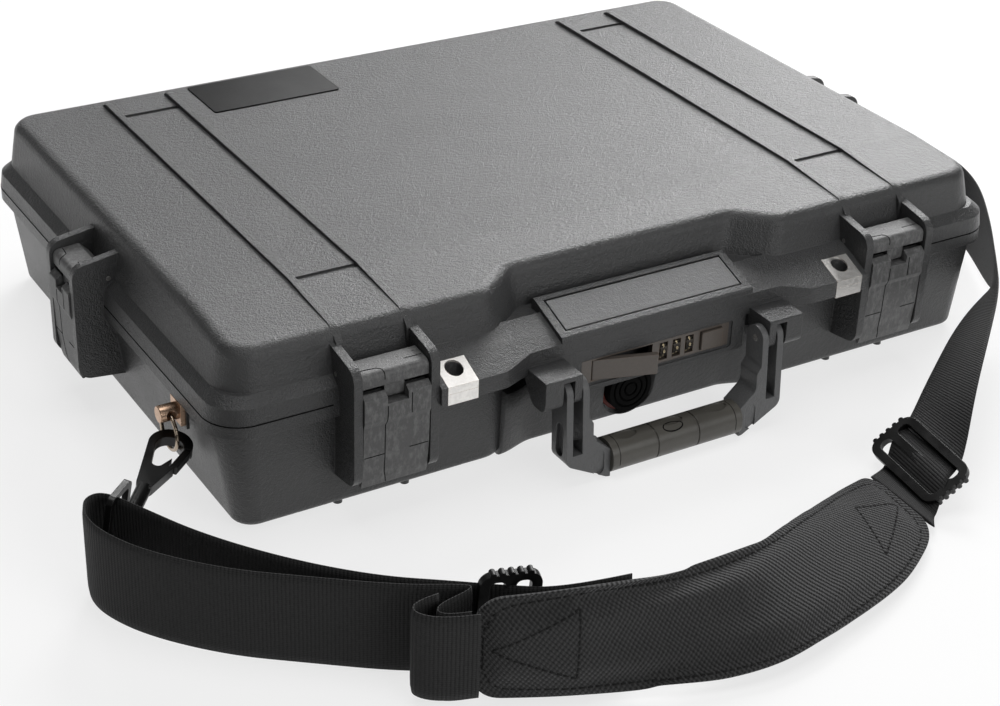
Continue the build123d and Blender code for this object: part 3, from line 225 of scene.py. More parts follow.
def metal(name, colour, rough, streak=(1.0, 1.0, 14.0), stain=None, edge=0.0004):
    """Metal with fine streaks and an optional stain near its edges."""
    g = Graph(name)
    point = g.object_point()
    lines = g.noise(g.node("ShaderNodeMapping", Vector=point, Scale=streak).outputs[0], 500.0, 2.0)
    wear, rounded = g.edges(edge)
    base = g.mix(g.ramp(lines, 0.0, 0.35), (*colour, 1.0), brighter(colour, 0.7))
    if stain:
        base = g.mix(g.math("MULTIPLY", wear, 0.8), base, (*stain, 1.0))
    g.set(Base_Color=base, Metallic=1.0, Roughness=g.ramp(lines, rough - 0.05, rough + 0.08))
    g.bump(lines, 0.00003, 0.5, rounded)
    return g.material


def glossy(name, level, rough):
    """Smooth black plastic of the strap's fittings, with faint flow marks."""
    g = Graph(name)
    point = g.object_point()
    wave = g.noise(point, 90.0, 2.0)
    wear, rounded = g.edges(0.0006)
    base = g.mix(g.math("MULTIPLY", wear, 0.3), grey(level), grey(level * 2.5))
    g.set(Base_Color=base, Roughness=g.ramp(wave, rough - 0.04, rough + 0.08), Specular_IOR_Level=0.35)
    g.bump(wave, 0.00012, 0.4, rounded)
    return g.material


def rubber(name, colour, rough):
    """Dull rubber with a fine grain."""
    g = Graph(name)
    point = g.object_point()
    fine = g.noise(point, 700.0, 2.0)
    wear, rounded = g.edges(0.0008)
    base = g.mix(g.ramp(g.noise(point, 40.0), 0.0, 1.0), (*colour, 1.0), brighter(colour, 1.3))
    base = g.mix(g.math("MULTIPLY", wear, 0.25), base, brighter(colour, 2.5))
    g.set(Base_Color=base, Roughness=g.ramp(fine, rough - 0.05, rough + 0.05))
    g.bump(fine, 0.00010, 0.6, rounded)
    return g.material


def woven_strap(name):
    """Webbing: ribs across the strap, crossed by fine threads. UV is metres along and across."""
    g = Graph(name)
    uv = g.node("ShaderNodeUVMap").outputs[0]
    split = g.node("ShaderNodeSeparateXYZ", Vector=uv)

    def ridges(place, pitch):
        return g.math("ABSOLUTE", g.math("SINE", g.math("MULTIPLY", place, math.pi / pitch)))

    rib = ridges(split.outputs[0], RIB_PITCH)
    warp = ridges(split.outputs[1], WARP_PITCH)
    height = g.math("ADD", g.math("MULTIPLY", rib, 0.70), g.math("MULTIPLY", warp, 0.30))
    fuzz = g.noise(g.object_point(), 900.0, 3.0)
    # darker where the weave is low: painted shade in the hollows between ribs and threads
    base = g.mix(g.ramp(height, 0.0, 1.0, 0.2, 0.95), grey(0.003), grey(0.020))
    base = g.mix(g.ramp(fuzz, 0.0, 0.4), base, grey(0.030))
    g.set(Base_Color=base, Roughness=0.72, Sheen_Weight=0.08, Sheen_Roughness=0.5,
          Sheen_Tint=SHEEN_TINT, Specular_IOR_Level=0.25)
    g.bump(g.math("ADD", height, g.math("MULTIPLY", fuzz, 0.3)), 0.00035, 1.0)
    return g.material


def pad_weave(name, level):
    """Coarse ballistic cloth in a diagonal basket pattern. UV is metres along and across."""
    g = Graph(name)
    uv = g.node("ShaderNodeUVMap").outputs[0]
    wobble = g.node("ShaderNodeTexNoise", Vector=uv, Scale=55.0, Detail=1.0).outputs["Color"]
    moved = g.node("ShaderNodeMix")
    moved.data_type = "VECTOR"
    g.put(PAD_WOBBLE, moved.inputs[0])
    g.put(uv, moved.inputs[4])
    g.put(wobble, moved.inputs[5])
    split = g.node("ShaderNodeSeparateXYZ", Vector=moved.outputs[1])
    pitch = 2 * math.pi / PAD_PITCH
    u = g.math("MULTIPLY", split.outputs[0], pitch)
    v = g.math("MULTIPLY", split.outputs[1], pitch)
    warp = g.math("SINE", g.math("ADD", u, v))
    weft = g.math("SINE", g.math("SUBTRACT", u, g.math("MULTIPLY", v, PAD_SLANT)))
    height = g.math("ADD", g.math("MULTIPLY", warp, 0.6), g.math("MULTIPLY", weft, 0.35))
    fuzz = g.noise(g.object_point(), 800.0, 3.0)
    # colour follows the weave's height: painted shade in its hollows and painted highlight on its raised
    # threads
    base = g.mix(g.ramp(height, 0.0, 1.0, -0.5, 0.7), grey(level * 0.25), grey(level * 1.5))
    base = g.mix(g.ramp(fuzz, 0.0, 0.4), base, grey(level * 1.8))
    g.set(Base_Color=base, Roughness=0.78, Sheen_Weight=0.2, Sheen_Roughness=0.5,
          Sheen_Tint=SHEEN_TINT, Specular_IOR_Level=0.3)
    g.bump(g.math("ADD", height, g.math("MULTIPLY", fuzz, 0.4)), 0.00045, 1.0)
    return g.material


def foam(name, level):
    """Open-celled foam of the linings."""
    g = Graph(name)
    point = g.object_point()
    cell = g.node("ShaderNodeTexVoronoi", Vector=point, Scale=900.0).outputs["Distance"]
    # darker at the sunken middle of each cell: painted shade in the pores
    g.set(Base_Color=g.mix(g.ramp(cell, 0.0, 1.0, 0.1, 0.7), grey(level * 0.5), grey(level * 1.3)),
          Roughness=0.95, Specular_IOR_Level=0.2)
    g.bump(cell, 0.0006, 0.8)
    return g.material


def plain_cloth(name, level):
    """Plain thread, with a little fuzz."""
    g = Graph(name)
    fuzz = g.noise(g.object_point(), 1500.0, 3.0)
    g.set(Base_Color=g.mix(g.ramp(fuzz, 0.0, 1.0), grey(level * 0.7), grey(level * 1.3)), Roughness=0.8,
          Specular_IOR_Level=0.3)
    g.bump(fuzz, 0.0001, 0.6)
    return g.material


case_plastic = moulded("case_plastic", 0.048, 0.32, depth=0.0009)
trim_plastic = moulded("trim_plastic", 0.110, 0.38, grain=1100.0, depth=0.0004)
panel_plastic = moulded("panel_plastic", 0.095, 0.36, grain=1300.0, depth=0.0003, scuff=0.2)
label_film = moulded("label_film", 0.006, 0.34, grain=1500.0, depth=0.00005, scuff=0.2, gloss=0.08)
latch_plastic = mottled("latch_plastic", 0.082)
grip_rubber = rubber("grip_rubber", (0.066, 0.062, 0.054), 0.36)
seal_rubber = rubber("seal_rubber", (0.22, 0.028, 0.016), 0.5)
pin_steel = metal("pin_steel", (0.58, 0.57, 0.55), 0.28)
bright_steel = metal("bright_steel", (0.93, 0.91, 0.88), 0.38, (1.0, 1.0, 1.0),
                     stain=(0.40, 0.27, 0.17), edge=0.0003)
lock_metal = moulded("lock_metal", 0.085, 0.34, grain=1300.0, depth=0.00010, tint=(1.16, 0.98, 0.84),
                     gloss=0.6, scuff=0.9, edge=0.0005, worn=(0.20, 0.11, 0.05, 1.0))
dial_brass = metal("dial_brass", (0.95, 0.80, 0.52), 0.34)
dial_dark = metal("dial_dark", (0.050, 0.045, 0.040), 0.36)
copper = metal("copper", (0.60, 0.41, 0.29), 0.30, (1.0, 1.0, 1.0))
ring_bronze = metal("ring_bronze", (0.44, 0.36, 0.28), 0.26)
fitting_black = glossy("fitting_black", 0.005, 0.33)
strap_cloth = woven_strap("strap_cloth")
pad_cloth = pad_weave("pad_cloth", 0.024)
thread = plain_cloth("thread", 0.008)
lining_foam = foam("lining_foam", 0.06)
# near black, used for painted shade: the gap at the parting line, the seams of the latches and the grip, and
# the valve sunk in its pocket
shadow_black = moulded("shadow_black", 0.003, 0.8, scuff=0.0, gloss=0.1)

FINISH = {     # the start of a node's name, and its material; the longest that fits counts
    "base_shell": case_plastic, "lid_shell": case_plastic, "lid_seal": seal_rubber,
    "name_panel": panel_plastic, "label_plate": label_film,
    "handle_frame": trim_plastic, "handle_grip": grip_rubber, "handle_pin": pin_steel,
    "lock_plate": lock_metal, "lock_lever": lock_metal, "lock_lever_pin": pin_steel,
    "lock_dial": dial_dark, "dial_axle": pin_steel, "lock_button": lock_metal,
    # the valve body is near black: painted shade of the pocket it sits in
    "valve_seal": seal_rubber, "valve_body": shadow_black, "hinge_pin": pin_steel,
    "padlock_plate": bright_steel, "latch_link": latch_plastic, "latch_lever": latch_plastic,
    "latch_pin": pin_steel, "strap_stud": copper, "strap_ring": ring_bronze,
    "snap_hook": fitting_black, "snap_gate": fitting_black, "strap_loop": fitting_black,
    "slider": fitting_black, "webbing": strap_cloth, "shoulder_pad": pad_cloth,
    "base_foam": lining_foam, "lid_foam": lining_foam,
}


def finish_nodes():
    """Gives every CAD node its material."""
    for name, node in nodes.items():
        kind = max((key for key in FINISH if name.startswith(key)), key=len)
        node.data.materials.clear()
        node.data.materials.append(FINISH[kind])


# ------------------------------------------------------------------ mesh helpers
SINK = 0.0004          # how far a raised line's feet go into the surface, metres
SELVEDGE = 0.7         # share by which a strip is thinner at its selvedges


def ease(share):
    """0 to 1 with a level start and end."""
    return share * share * (3 - 2 * share)


def bridge(bm, low, high):
    """A closed band of faces between two rings of as many points."""
    count = len(low)
    for k in range(count):
        n = (k + 1) % count
        bm.faces.new((low[k], low[n], high[n], high[k]))


def finish_mesh(bm, mesh):
    """Turns all faces outward and writes them to the mesh."""
    bmesh.ops.recalc_face_normals(bm, faces=bm.faces)
    bm.to_mesh(mesh)
    bm.free()


def lengths(points):
    """Length travelled along a line at each of its points."""
    travelled = [0.0]
    for last, point in zip(points, points[1:]):
        travelled.append(travelled[-1] + (point - last).length)
    return travelled


def heading(points, i):
    """Direction of a line at its point i, from the point before to the one after."""
    return points[min(i + 1, len(points) - 1)] - points[max(i - 1, 0)]


def mesh_tree(mesh):
    """A mesh's faces, ready for rays."""
    return BVHTree.FromPolygons([v.co for v in mesh.vertices], [p.vertices for p in mesh.polygons])


def add_object(name, mesh, material, body):
    """A smooth piece with one material that rides on a body."""
    for face in mesh.polygons:
        face.use_smooth = True
    made = bpy.data.objects.new(name, mesh)
    scene.collection.objects.link(made)
    mesh.materials.append(material)
    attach(made, body)
    return made


def smooth_path(points, steps=8):
    """Points of a smooth curve inside the corners of a route; both ends are kept."""
    points = [Vector(p) for p in points]
    out = [points[0]]
    for i in range(1, len(points) - 1):
        start = points[0] if i == 1 else (points[i - 1] + points[i]) / 2
        end = points[-1] if i == len(points) - 2 else (points[i] + points[i + 1]) / 2
        for k in range(1, steps + 1):
            t = k / steps
            out.append(start * (1 - t) ** 2 + points[i] * 2 * t * (1 - t) + end * t ** 2)
    return out


def strip(name, centres, acrosses, width, thick, material, columns=12):
    """A woven strip along centres, with thin selvedges and UV in metres; returns it and its length."""
    mesh = bpy.data.meshes.new(name)
    bm = bmesh.new()
    uv_layer = bm.loops.layers.uv.new("uv")
    profile = []
    for side in (1, -1):
        for k in range(columns + 1):
            c = (k / columns - 0.5) * side
            lift = thick / 2 * (1 - (abs(c) * 2) ** 10 * SELVEDGE)
            profile.append((c * width, lift * side))
    rows = []
    travelled = lengths(centres)
    for i, centre in enumerate(centres):
        across = acrosses[i].normalized()
        out = across.cross(heading(centres, i)).normalized()
        rows.append([bm.verts.new(centre + across * a + out * o) for a, o in profile])
    count = len(profile)
    for i in range(len(rows) - 1):
        for k in range(count):
            n = (k + 1) % count
            face = bm.faces.new((rows[i][k], rows[i][n], rows[i + 1][n], rows[i + 1][k]))
            spots = ((i, k), (i, n), (i + 1, n), (i + 1, k))
            for loop, (row, column) in zip(face.loops, spots):
                loop[uv_layer].uv = (travelled[row], profile[column][0])
    for row in (rows[0], rows[-1]):
        face = bm.faces.new(row)
        for loop in face.loops:
            loop[uv_layer].uv = (0.0, 0.0)
    finish_mesh(bm, mesh)
    return add_object(name, mesh, material, "base"), travelled[-1]


def bead(bm, points, normals, width, proud):
    """A thin raised line along points that lie on a surface."""
    profile = ((-0.5, -SINK), (-0.3, proud), (0.3, proud), (0.5, -SINK))     # share of the width, height
    rows = []
    for i, point in enumerate(points):
        across = heading(points, i).cross(normals[i]).normalized() * width
        rows.append([bm.verts.new(point + across * a + normals[i] * h) for a, h in profile])
    for low, high in zip(rows, rows[1:]):
        bridge(bm, low, high)
    bm.faces.new(rows[0][::-1])
    bm.faces.new(rows[-1])


def beads(name, lines, material, body, width=0.0007, proud=0.00012):
    """One piece made of raised lines. A line is its points, their normals and a width of its own, if any."""
    mesh = bpy.data.meshes.new(name)
    bm = bmesh.new()
    for line in lines:
        bead(bm, line[0], line[1], line[2] if len(line) > 2 else width, proud)
    finish_mesh(bm, mesh)
    made = add_object(name, mesh, material, body)
    return made


def surface(name):
    """The solid's own surface, for laying thin lines on it."""
    return mesh_tree(nodes[name].data)


DROP_START = 0.05      # a dropped point starts this far off and looks this far, metres
DROP_REACH = 0.12


def laid(tree, points, toward):
    """Points in mm dropped onto a surface along a direction, with the surface's normals."""
    spots = []
    normals = []
    toward = Vector(toward).normalized()
    for point in points:
        origin = Vector(point) * MM - toward * DROP_START
        place, normal, index, distance = tree.ray_cast(origin, toward, DROP_REACH)
        if place is not None:
            spots.append(place)
            normals.append(normal if normal.dot(toward) < 0 else -normal)
    return spots, normals


def between(start, end, count=6):
    """Evenly spaced points from start to end, both of them included."""
    start = Vector(start)
    end = Vector(end)
    return [start.lerp(end, i / count) for i in range(count + 1)]


# ------------------------------------------------------------------ latches
LATCHES = {     # middle of the latch on the rim's face, its outward direction and its half width, mm
    "front_left": ((-163.3, -168.5, 0), (0, -1, 0), 19.0),
    "front_right": ((163.3, -168.5, 0), (0, -1, 0), 19.0),
    "side_left": ((-254.0, 3.5, 0), (-1, 0, 0), 14.5),
    "side_right": ((254.0, 3.5, 0), (1, 0, 0), 14.5),
}
LINK_FRONT_LINES = (    # share of the half width and height, mm
    ((-0.32, 88.0), (-0.32, 84.4)),
)
LINK_TOP_LINES = (      # share of the half width and distance out, mm
    ((-0.32, 13.6), (-0.34, 11.8), (-0.46, 9.6), (-0.96, 9.0)),
    ((0.42, 7.6), (0.96, 7.6)),
)
LEVER_LINES = (         # share of the half width and height, mm
    ((-0.30, 74.6), (-0.30, 66.0), (-0.32, 60.4), (-0.35, 58.6), (-0.35, 44.0), (-0.34, 30.0),
     (-0.26, 22.8)),
    ((0.42, 74.6), (0.42, 63.0)),
    ((-0.97, 41.6), (-0.37, 41.6)),
    ((0.40, 41.6), (0.97, 41.6)),
)
LATCH_REACH = 16        # in front of the rim, from where lines are dropped back onto a latch, mm
LATCH_TOP = 89          # height from which lines are dropped onto it, mm
DOWN = (0, 0, -1)


def trail(corners, place):
    """Points along a line through corners, each put in its place in the part."""
    points = []
    for start, end in zip(corners, corners[1:]):
        points += between(place(*start), place(*end))
    return points


def make_latch_lines():
    """Seams on the link and the lever of each latch."""
    for name, (spot, outward, half) in LATCHES.items():
        out = Vector(outward)
        along = Vector((0, 0, 1)).cross(out)
        spot = Vector(spot)
        link = surface("latch_link_" + name)
        lever = surface("latch_lever_" + name)

        def face(share, height):
            return spot + along * share * half + out * LATCH_REACH + Vector((0, 0, height))

        def top(share, reach):
            return spot + along * share * half + out * reach + Vector((0, 0, LATCH_TOP))

        link_lines = [laid(link, trail(line, face), -out) for line in LINK_FRONT_LINES]
        link_lines += [laid(link, trail(line, top), DOWN) for line in LINK_TOP_LINES]
        lever_lines = [laid(lever, trail(line, face), -out) for line in LEVER_LINES]
        # the seams are drawn near black: painted shade of their grooves
        beads("latch_link_seams_" + name, link_lines, shadow_black, "latch_link_" + name)
        beads("latch_lever_seams_" + name, lever_lines, shadow_black, "latch_lever_" + name)


# ------------------------------------------------------------------ front wall of the base
APRON_HALF = 86.0           # reaches, heights and places in mm
APRON_FLAT = 62.0           # half of its flat middle
APRON_HEAD = 43.0
APRON_FOOT = 0.6
APRON_LINE = -155.0         # foot of the wall in the middle of the case
APRON_END_LINE = -160.8     # and where it runs into the outer walls
APRON_LEAN = 4.5            # its head stands this far in front of its foot
APRON_BACK = -143.0
APRON_COLUMNS = 172
APRON_UNDERCUT = 3.6        # the underside starts this far behind the wall
APRON_CURVE = ((1.0, 1.6), (2.2, 0.5), (4.0, 0.0))     # rounded foot: height above it, and inset
APRON_RISE = (0.33, 0.66, 1.0)                         # rows of the wall, share of its height
APRON_LEAST = 0.6           # least height of the wall, in the middle of the pocket
VALVE_MIDDLE = 19.2         # height of the valve, and the radius of the pocket round it
VALVE_POCKET = 17.6


def apron_profile(x):
    """Section of the front wall at x: pairs of y and height, mm."""
    share = min(max((abs(x) - APRON_FLAT) / (APRON_HALF - APRON_FLAT), 0.0), 1.0)
    line = APRON_LINE + (APRON_END_LINE - APRON_LINE) * ease(share)
    head = APRON_HEAD
    if abs(x) < VALVE_POCKET:
        head = VALVE_MIDDLE - math.sqrt(VALVE_POCKET ** 2 - x ** 2)
    head = max(head, APRON_FOOT + APRON_LEAST)

    def front(height, inset=0.0):
        return (line - APRON_LEAN * height / APRON_HEAD + inset, height)

    curve = [front(min(APRON_FOOT + height, head), inset) for height, inset in APRON_CURVE]
    curve_top = curve[-1][1]
    wall = [front(head * f + curve_top * (1 - f)) for f in APRON_RISE]
    foot = [(APRON_BACK, APRON_FOOT), (line + APRON_UNDERCUT, APRON_FOOT)]
    return foot + curve + wall + [(APRON_BACK, head)]


def make_apron():
    """Lower front wall between the handle's brackets, with a round pocket for the valve."""
    mesh = bpy.data.meshes.new("base_front_apron")
    bm = bmesh.new()
    rows = []
    for i in range(APRON_COLUMNS + 1):
        x = APRON_HALF * (2 * i / APRON_COLUMNS - 1)
        rows.append([bm.verts.new(Vector((x, y, z)) * MM) for y, z in apron_profile(x)])
    for low, high in zip(rows, rows[1:]):
        bridge(bm, low, high)
    bm.faces.new(rows[0])
    bm.faces.new(rows[-1])
    finish_mesh(bm, mesh)
    made = add_object("base_front_apron", mesh, case_plastic, "base")
    for face in mesh.polygons:
        face.use_smooth = abs(face.normal.z) < 0.5


# ------------------------------------------------------------------ parting line
PARTING = 67.75             # height of the joint between lid and base, mm
RIM_HALF = (254.0, 168.5)
RIM_CORNER = 21.0
RIM_CORNERS = ((1, -1), (1, 1), (-1, 1), (-1, -1))      # sides of x and y on which the corners lie
RIM_OUTWARD = ((0, -1), (1, 0), (0, 1), (-1, 0))        # direction of the rim's face before each corner
RIM_STEP = 3.0              # spacing of the line's points on the straights
CORNER_STEPS = 12
RIM_LOOK = 30               # rays onto the rim start this far in front of it, mm
RIM_LOOK_REACH = 0.06       # and reach this far, metres
BARE_OFFSET = 1.6           # the rim is bare where its face is found this close, mm
BARE_FACING = 0.7           # and faces outward at least this much
PARTING_GAP = 0.008         # a longer gap between two points ends a line, metres
LEAST_POINTS = 4            # a line with fewer points is left out
PARTING_WIDTH = 0.0011
PARTING_PROUD = 0.00015


def rim_points():
    """Points round the rim at the parting, mm, each with its outward direction."""
    half_x, half_y = RIM_HALF
    middles = [Vector((sx * (half_x - RIM_CORNER), sy * (half_y - RIM_CORNER), PARTING))
               for sx, sy in RIM_CORNERS]
    spots = []
    for corner, middle in enumerate(middles):
        start = (corner - 1) * math.pi / 2
        for k in range(CORNER_STEPS + 1):
            angle = start + math.pi / 2 * k / CORNER_STEPS
            out = Vector((math.cos(angle), math.sin(angle), 0))
            spots.append((middle + out * RIM_CORNER, out))
        following = (corner + 1) % len(middles)
        follow = middles[following] + Vector((*RIM_OUTWARD[following], 0)) * RIM_CORNER
        last, out = spots[-1]
        span = (follow - last).length
        spots += [(last.lerp(follow, k * RIM_STEP / span), out) for k in range(1, int(span / RIM_STEP))]
    return spots


def make_parting_line():
    """Black line in the joint between lid and base, painted shade of the gap there, where the rim's face is
    bare.
    """
    tree = surface("base_shell")
    spots = rim_points()
    lines = []
    points = []
    normals = []
    for spot, out in spots + spots[:1]:
        origin = (spot + out * RIM_LOOK) * MM
        place, normal, index, distance = tree.ray_cast(origin, -out, RIM_LOOK_REACH)
        bare = (place is not None and abs((place / MM - spot).dot(out)) < BARE_OFFSET
                and normal.dot(out) > BARE_FACING)
        if bare:
            points.append(place)
            normals.append(out.copy())
        if not bare or (len(points) > 1 and (points[-1] - points[-2]).length > PARTING_GAP):
            if len(points) >= LEAST_POINTS:
                lines.append((points[:-1], normals[:-1]))
            points = []
            normals = []
    if len(points) >= LEAST_POINTS:
        lines.append((points, normals))
    beads("parting_line", lines, shadow_black, "base", PARTING_WIDTH, PARTING_PROUD)


# ------------------------------------------------------------------ grip and lock
GRIP_RING = (-1.5, -202.0, 19.0)       # middle of the raised oval on the grip, mm
GRIP_RING_REACH = (6.2, 2.2, 1.9)
GRIP_RING_TOWARD = (0.0, 0.62, -0.78)
GRIP_RING_WIDTH = 0.0011
GRIP_RING_STEPS = 24
GRIP_END = (38.5, -197.5, 10.4)        # middle of the seam near each end of the grip, mm
GRIP_END_RADIUS = 9.0
GRIP_END_START = -0.5
GRIP_END_TURN = math.pi / 16           # between two points of that seam
GRIP_END_COUNT = 15
GRIP_END_TOWARD = (0.0, 0.75, -0.66)
GRIP_SEAM_WIDTH = 0.0006
GRIP_SEAM_PROUD = 0.00008


def make_grip_lines():
    """The oval on the grip and the seams near its ends."""
    grip = surface("handle_grip")
    ring = []
    for i in range(GRIP_RING_STEPS + 1):
        turn = 2 * math.pi * i / GRIP_RING_STEPS
        swing = (math.cos(turn), math.sin(turn), math.sin(turn))
        ring.append([m + r * t for m, r, t in zip(GRIP_RING, GRIP_RING_REACH, swing)])
    spots = laid(grip, ring, GRIP_RING_TOWARD)[0]
    lines = [(spots, [-Vector(GRIP_RING_TOWARD)] * len(spots), GRIP_RING_WIDTH)]
    x, y, z = GRIP_END
    for side in (-1, 1):
        angles = [GRIP_END_TURN * k + GRIP_END_START for k in range(GRIP_END_COUNT)]
        end = [(side * x, y - GRIP_END_RADIUS * math.cos(a), z + GRIP_END_RADIUS * math.sin(a))
               for a in angles]
        lines.append(laid(grip, end, GRIP_END_TOWARD))
    lines = [line for line in lines if len(line[0]) >= LEAST_POINTS]
    # drawn near black: painted shade along the raised oval and the seams
    beads("grip_seams", lines, shadow_black, "handle", GRIP_SEAM_WIDTH, GRIP_SEAM_PROUD)


DIALS = 3
DIGITS = 10
DIGIT_SIZE = 0.0029        # metres
DIGIT_THICK = 0.00020


def digit_mesh(digit):
    """The figure as a mesh, flat in its own plane."""
    curve = bpy.data.curves.new("digit", "FONT")
    curve.body = str(digit)
    curve.size = DIGIT_SIZE
    curve.extrude = DIGIT_THICK
    curve.align_x = "CENTER"
    curve.align_y = "CENTER"
    curve.resolution_u = 2
    text = bpy.data.objects.new("digit", curve)
    scene.collection.objects.link(text)
    shape = bpy.data.meshes.new_from_object(text)
    bpy.data.objects.remove(text)
    bpy.data.curves.remove(curve)
    return shape


def make_dial_digits():
    """Raised brass numbers round each dial."""
    stand = Matrix.Rotation(math.pi / 2, 4, "X")
    for index in range(DIALS):
        low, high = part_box("lock_dial_%d" % (index + 1))
        centre = (Vector(low) + Vector(high)) / 2
        mesh = bpy.data.meshes.new("dial_digits_%d" % (index + 1))
        bm = bmesh.new()
        radius = (high[2] - low[2]) / 2
        for digit in range(DIGITS):
            shape = digit_mesh(digit)
            turn = Matrix.Rotation(2 * math.pi * digit / DIGITS, 4, "X")
            shape.transform(Matrix.Translation(centre) @ turn @ Matrix.Translation((0, -radius, 0)) @ stand)
            bm.from_mesh(shape)
            bpy.data.meshes.remove(shape)
        bm.to_mesh(mesh)
        bm.free()
        made = add_object(mesh.name, mesh, dial_brass, "lock_dial_%d" % (index + 1))


# ------------------------------------------------------------------ webbing
WEBBING_WIDTH = 0.0495
RIGHT_WIDTH = WEBBING_WIDTH - 0.0015       # where it passes through the right slider
WEBBING_THICK = 0.0017
UPRIGHT = Vector((0, 0, 1))
LEFT_ROUTE = (      # x, y and height of the lower edge, mm
    (-204.6, -331.6, 2), (-217, -327, 1), (-217, -319, 1), (-196, -316.8, 2), (-194.8, -313.2, 2),
    (-222, -298, 1), (-258, -271, 1), (-287, -249, 1), (-314, -219, 1.5), (-327, -196, 3),
    (-329, -180, 4), (-324, -168, 4), (-314, -167, 4), (-304, -184, 3), (-286, -218, 1.5),
    (-258, -256, 1), (-228, -287, 1), (-200, -308, 2), (-180, -322, 1.5), (-158, -335, 1),
    (-124, -340, 0.6),
)


def standing_strip(name, route, steps, width, thick):
    """A strip of webbing on edge, along a route of its lower edge in mm; returns it and its length."""
    centres = [Vector(spot) * MM + UPRIGHT * width / 2 for spot in route]
    path = smooth_path(centres, steps)
    return strip(name, path, [UPRIGHT] * len(path), width, thick, strap_cloth)


def make_left_webbing():
    """The run from the pad's left end through the slider, out to the left hook and back behind the pad."""
    made, length = standing_strip("strap_webbing_left", LEFT_ROUTE, 7, WEBBING_WIDTH, WEBBING_THICK)
    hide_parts("webbing_left")


RIGHT_ROUTE = (     # centre, mm, and the direction across the webbing
    ((73.4, -307, 7.9), (-0.08, 0.99, 0.1)),
    ((84, -299, 4.4), (0.1, 0.99, 0.03)),
    ((90, -295.5, 5.0), (0.1, 0.99, 0.03)),
    ((98.6, -289.5, 17.8), (0.1, 0.99, 0.03)),
    ((109, -285.5, 19.0), (0.1, 0.99, 0.03)),
    ((118, -281, 19.5), (0.1, 0.99, 0.0)),
    ((145, -260, 35), (0.2, 0.93, -0.3)),
    ((182, -233, 45), (0.34, 0.87, -0.35)),
    ((228, -200, 45), (0.5, 0.7, -0.5)),
    ((254, -176, 38), (0.5, 0.4, -0.76)),
    ((284, -138, 31), (0.2, 0.1, -0.97)),
    ((310, -98, 29), (0, 0, -1)),
    ((323, -68, 28.6), (0, 0, -1)),
    ((325.2, -46, 28.4), (0, 0, -1)),
    ((321.5, -38.5, 28.4), (0, 0, -1)),
)


def make_right_webbing():
    """The run from the pad's right end, through the slider, to the right hook."""
    path = smooth_path([Vector(centre) * MM for centre, across in RIGHT_ROUTE])
    acrosses = smooth_path([Vector(across).normalized() for centre, across in RIGHT_ROUTE])
    made, length = strip("strap_webbing_right", path, acrosses, RIGHT_WIDTH, WEBBING_THICK, strap_cloth)
    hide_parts("webbing_right")


# ------------------------------------------------------------------ shoulder pad
PAD_STATIONS = (    # foot and head of the pad, mm
    ((-205, -333, 4), (-202, -328, 54)),
    ((-162, -354, 3), (-158, -348, 61)),
    ((-112, -375, 3), (-100, -344, 48)),
    ((-70, -384, 4), (-45, -331, 36)),
    ((-26, -378, 5), (-2, -313, 27)),
    ((31, -360, 5), (45, -290, 14)),
    ((75, -332, 5), (72, -282, 10)),
)
PAD_THICK = 0.0095          # in its middle, metres
PAD_EDGE = 0.0026           # and at its bound edge
PAD_BAND = 0.0055           # width of the flat bound edge
PAD_CROWN = 0.012           # width over which it then swells
PAD_CORNER = 0.013          # radius of its corners
PAD_COLUMNS = 18
PAD_ROWS = 84
PAD_PRESSURE = 4.0
PAD_SWELL = 0.0028          # the simulation moves nothing further than this


def pad_line(which, count):
    """A smooth line through the pad's feet (which is 0) or heads (1)."""
    points = [Vector(s[which]) * MM for s in PAD_STATIONS]
    out = []
    spans = len(points) - 1
    for i in range(count + 1):
        t = i / count * spans
        k = min(int(t), spans - 1)
        f = t - k
        p0 = points[max(k - 1, 0)]
        p1 = points[k]
        p2 = points[k + 1]
        p3 = points[min(k + 2, spans)]
        out.append(0.5 * (2 * p1 + (p2 - p0) * f + (2 * p0 - 5 * p1 + 4 * p2 - p3) * f ** 2
                          + (3 * p1 - p0 - 3 * p2 + p3) * f ** 3))
    return out


def pad_surface():
    """The pad's feet, heads and middles row by row, and the length travelled along its middles."""
    feet = pad_line(0, PAD_ROWS)
    heads = pad_line(1, PAD_ROWS)
    middles = [(a + b) / 2 for a, b in zip(feet, heads)]
    return feet, heads, middles, lengths(middles)


def corner_shrink(distance):
    """How far the outline draws in near the pad's rounded ends."""
    if distance >= PAD_CORNER:
        return 0.0
    return PAD_CORNER - math.sqrt(max(PAD_CORNER ** 2 - (PAD_CORNER - distance) ** 2, 0.0))


def pad_thickness(inside):
    """Thickness of the pad this far inside its outline."""
    crown = min(max((inside - PAD_BAND) / PAD_CROWN, 0.0), 1.0)
    return PAD_EDGE + (PAD_THICK - PAD_EDGE) * ease(crown)


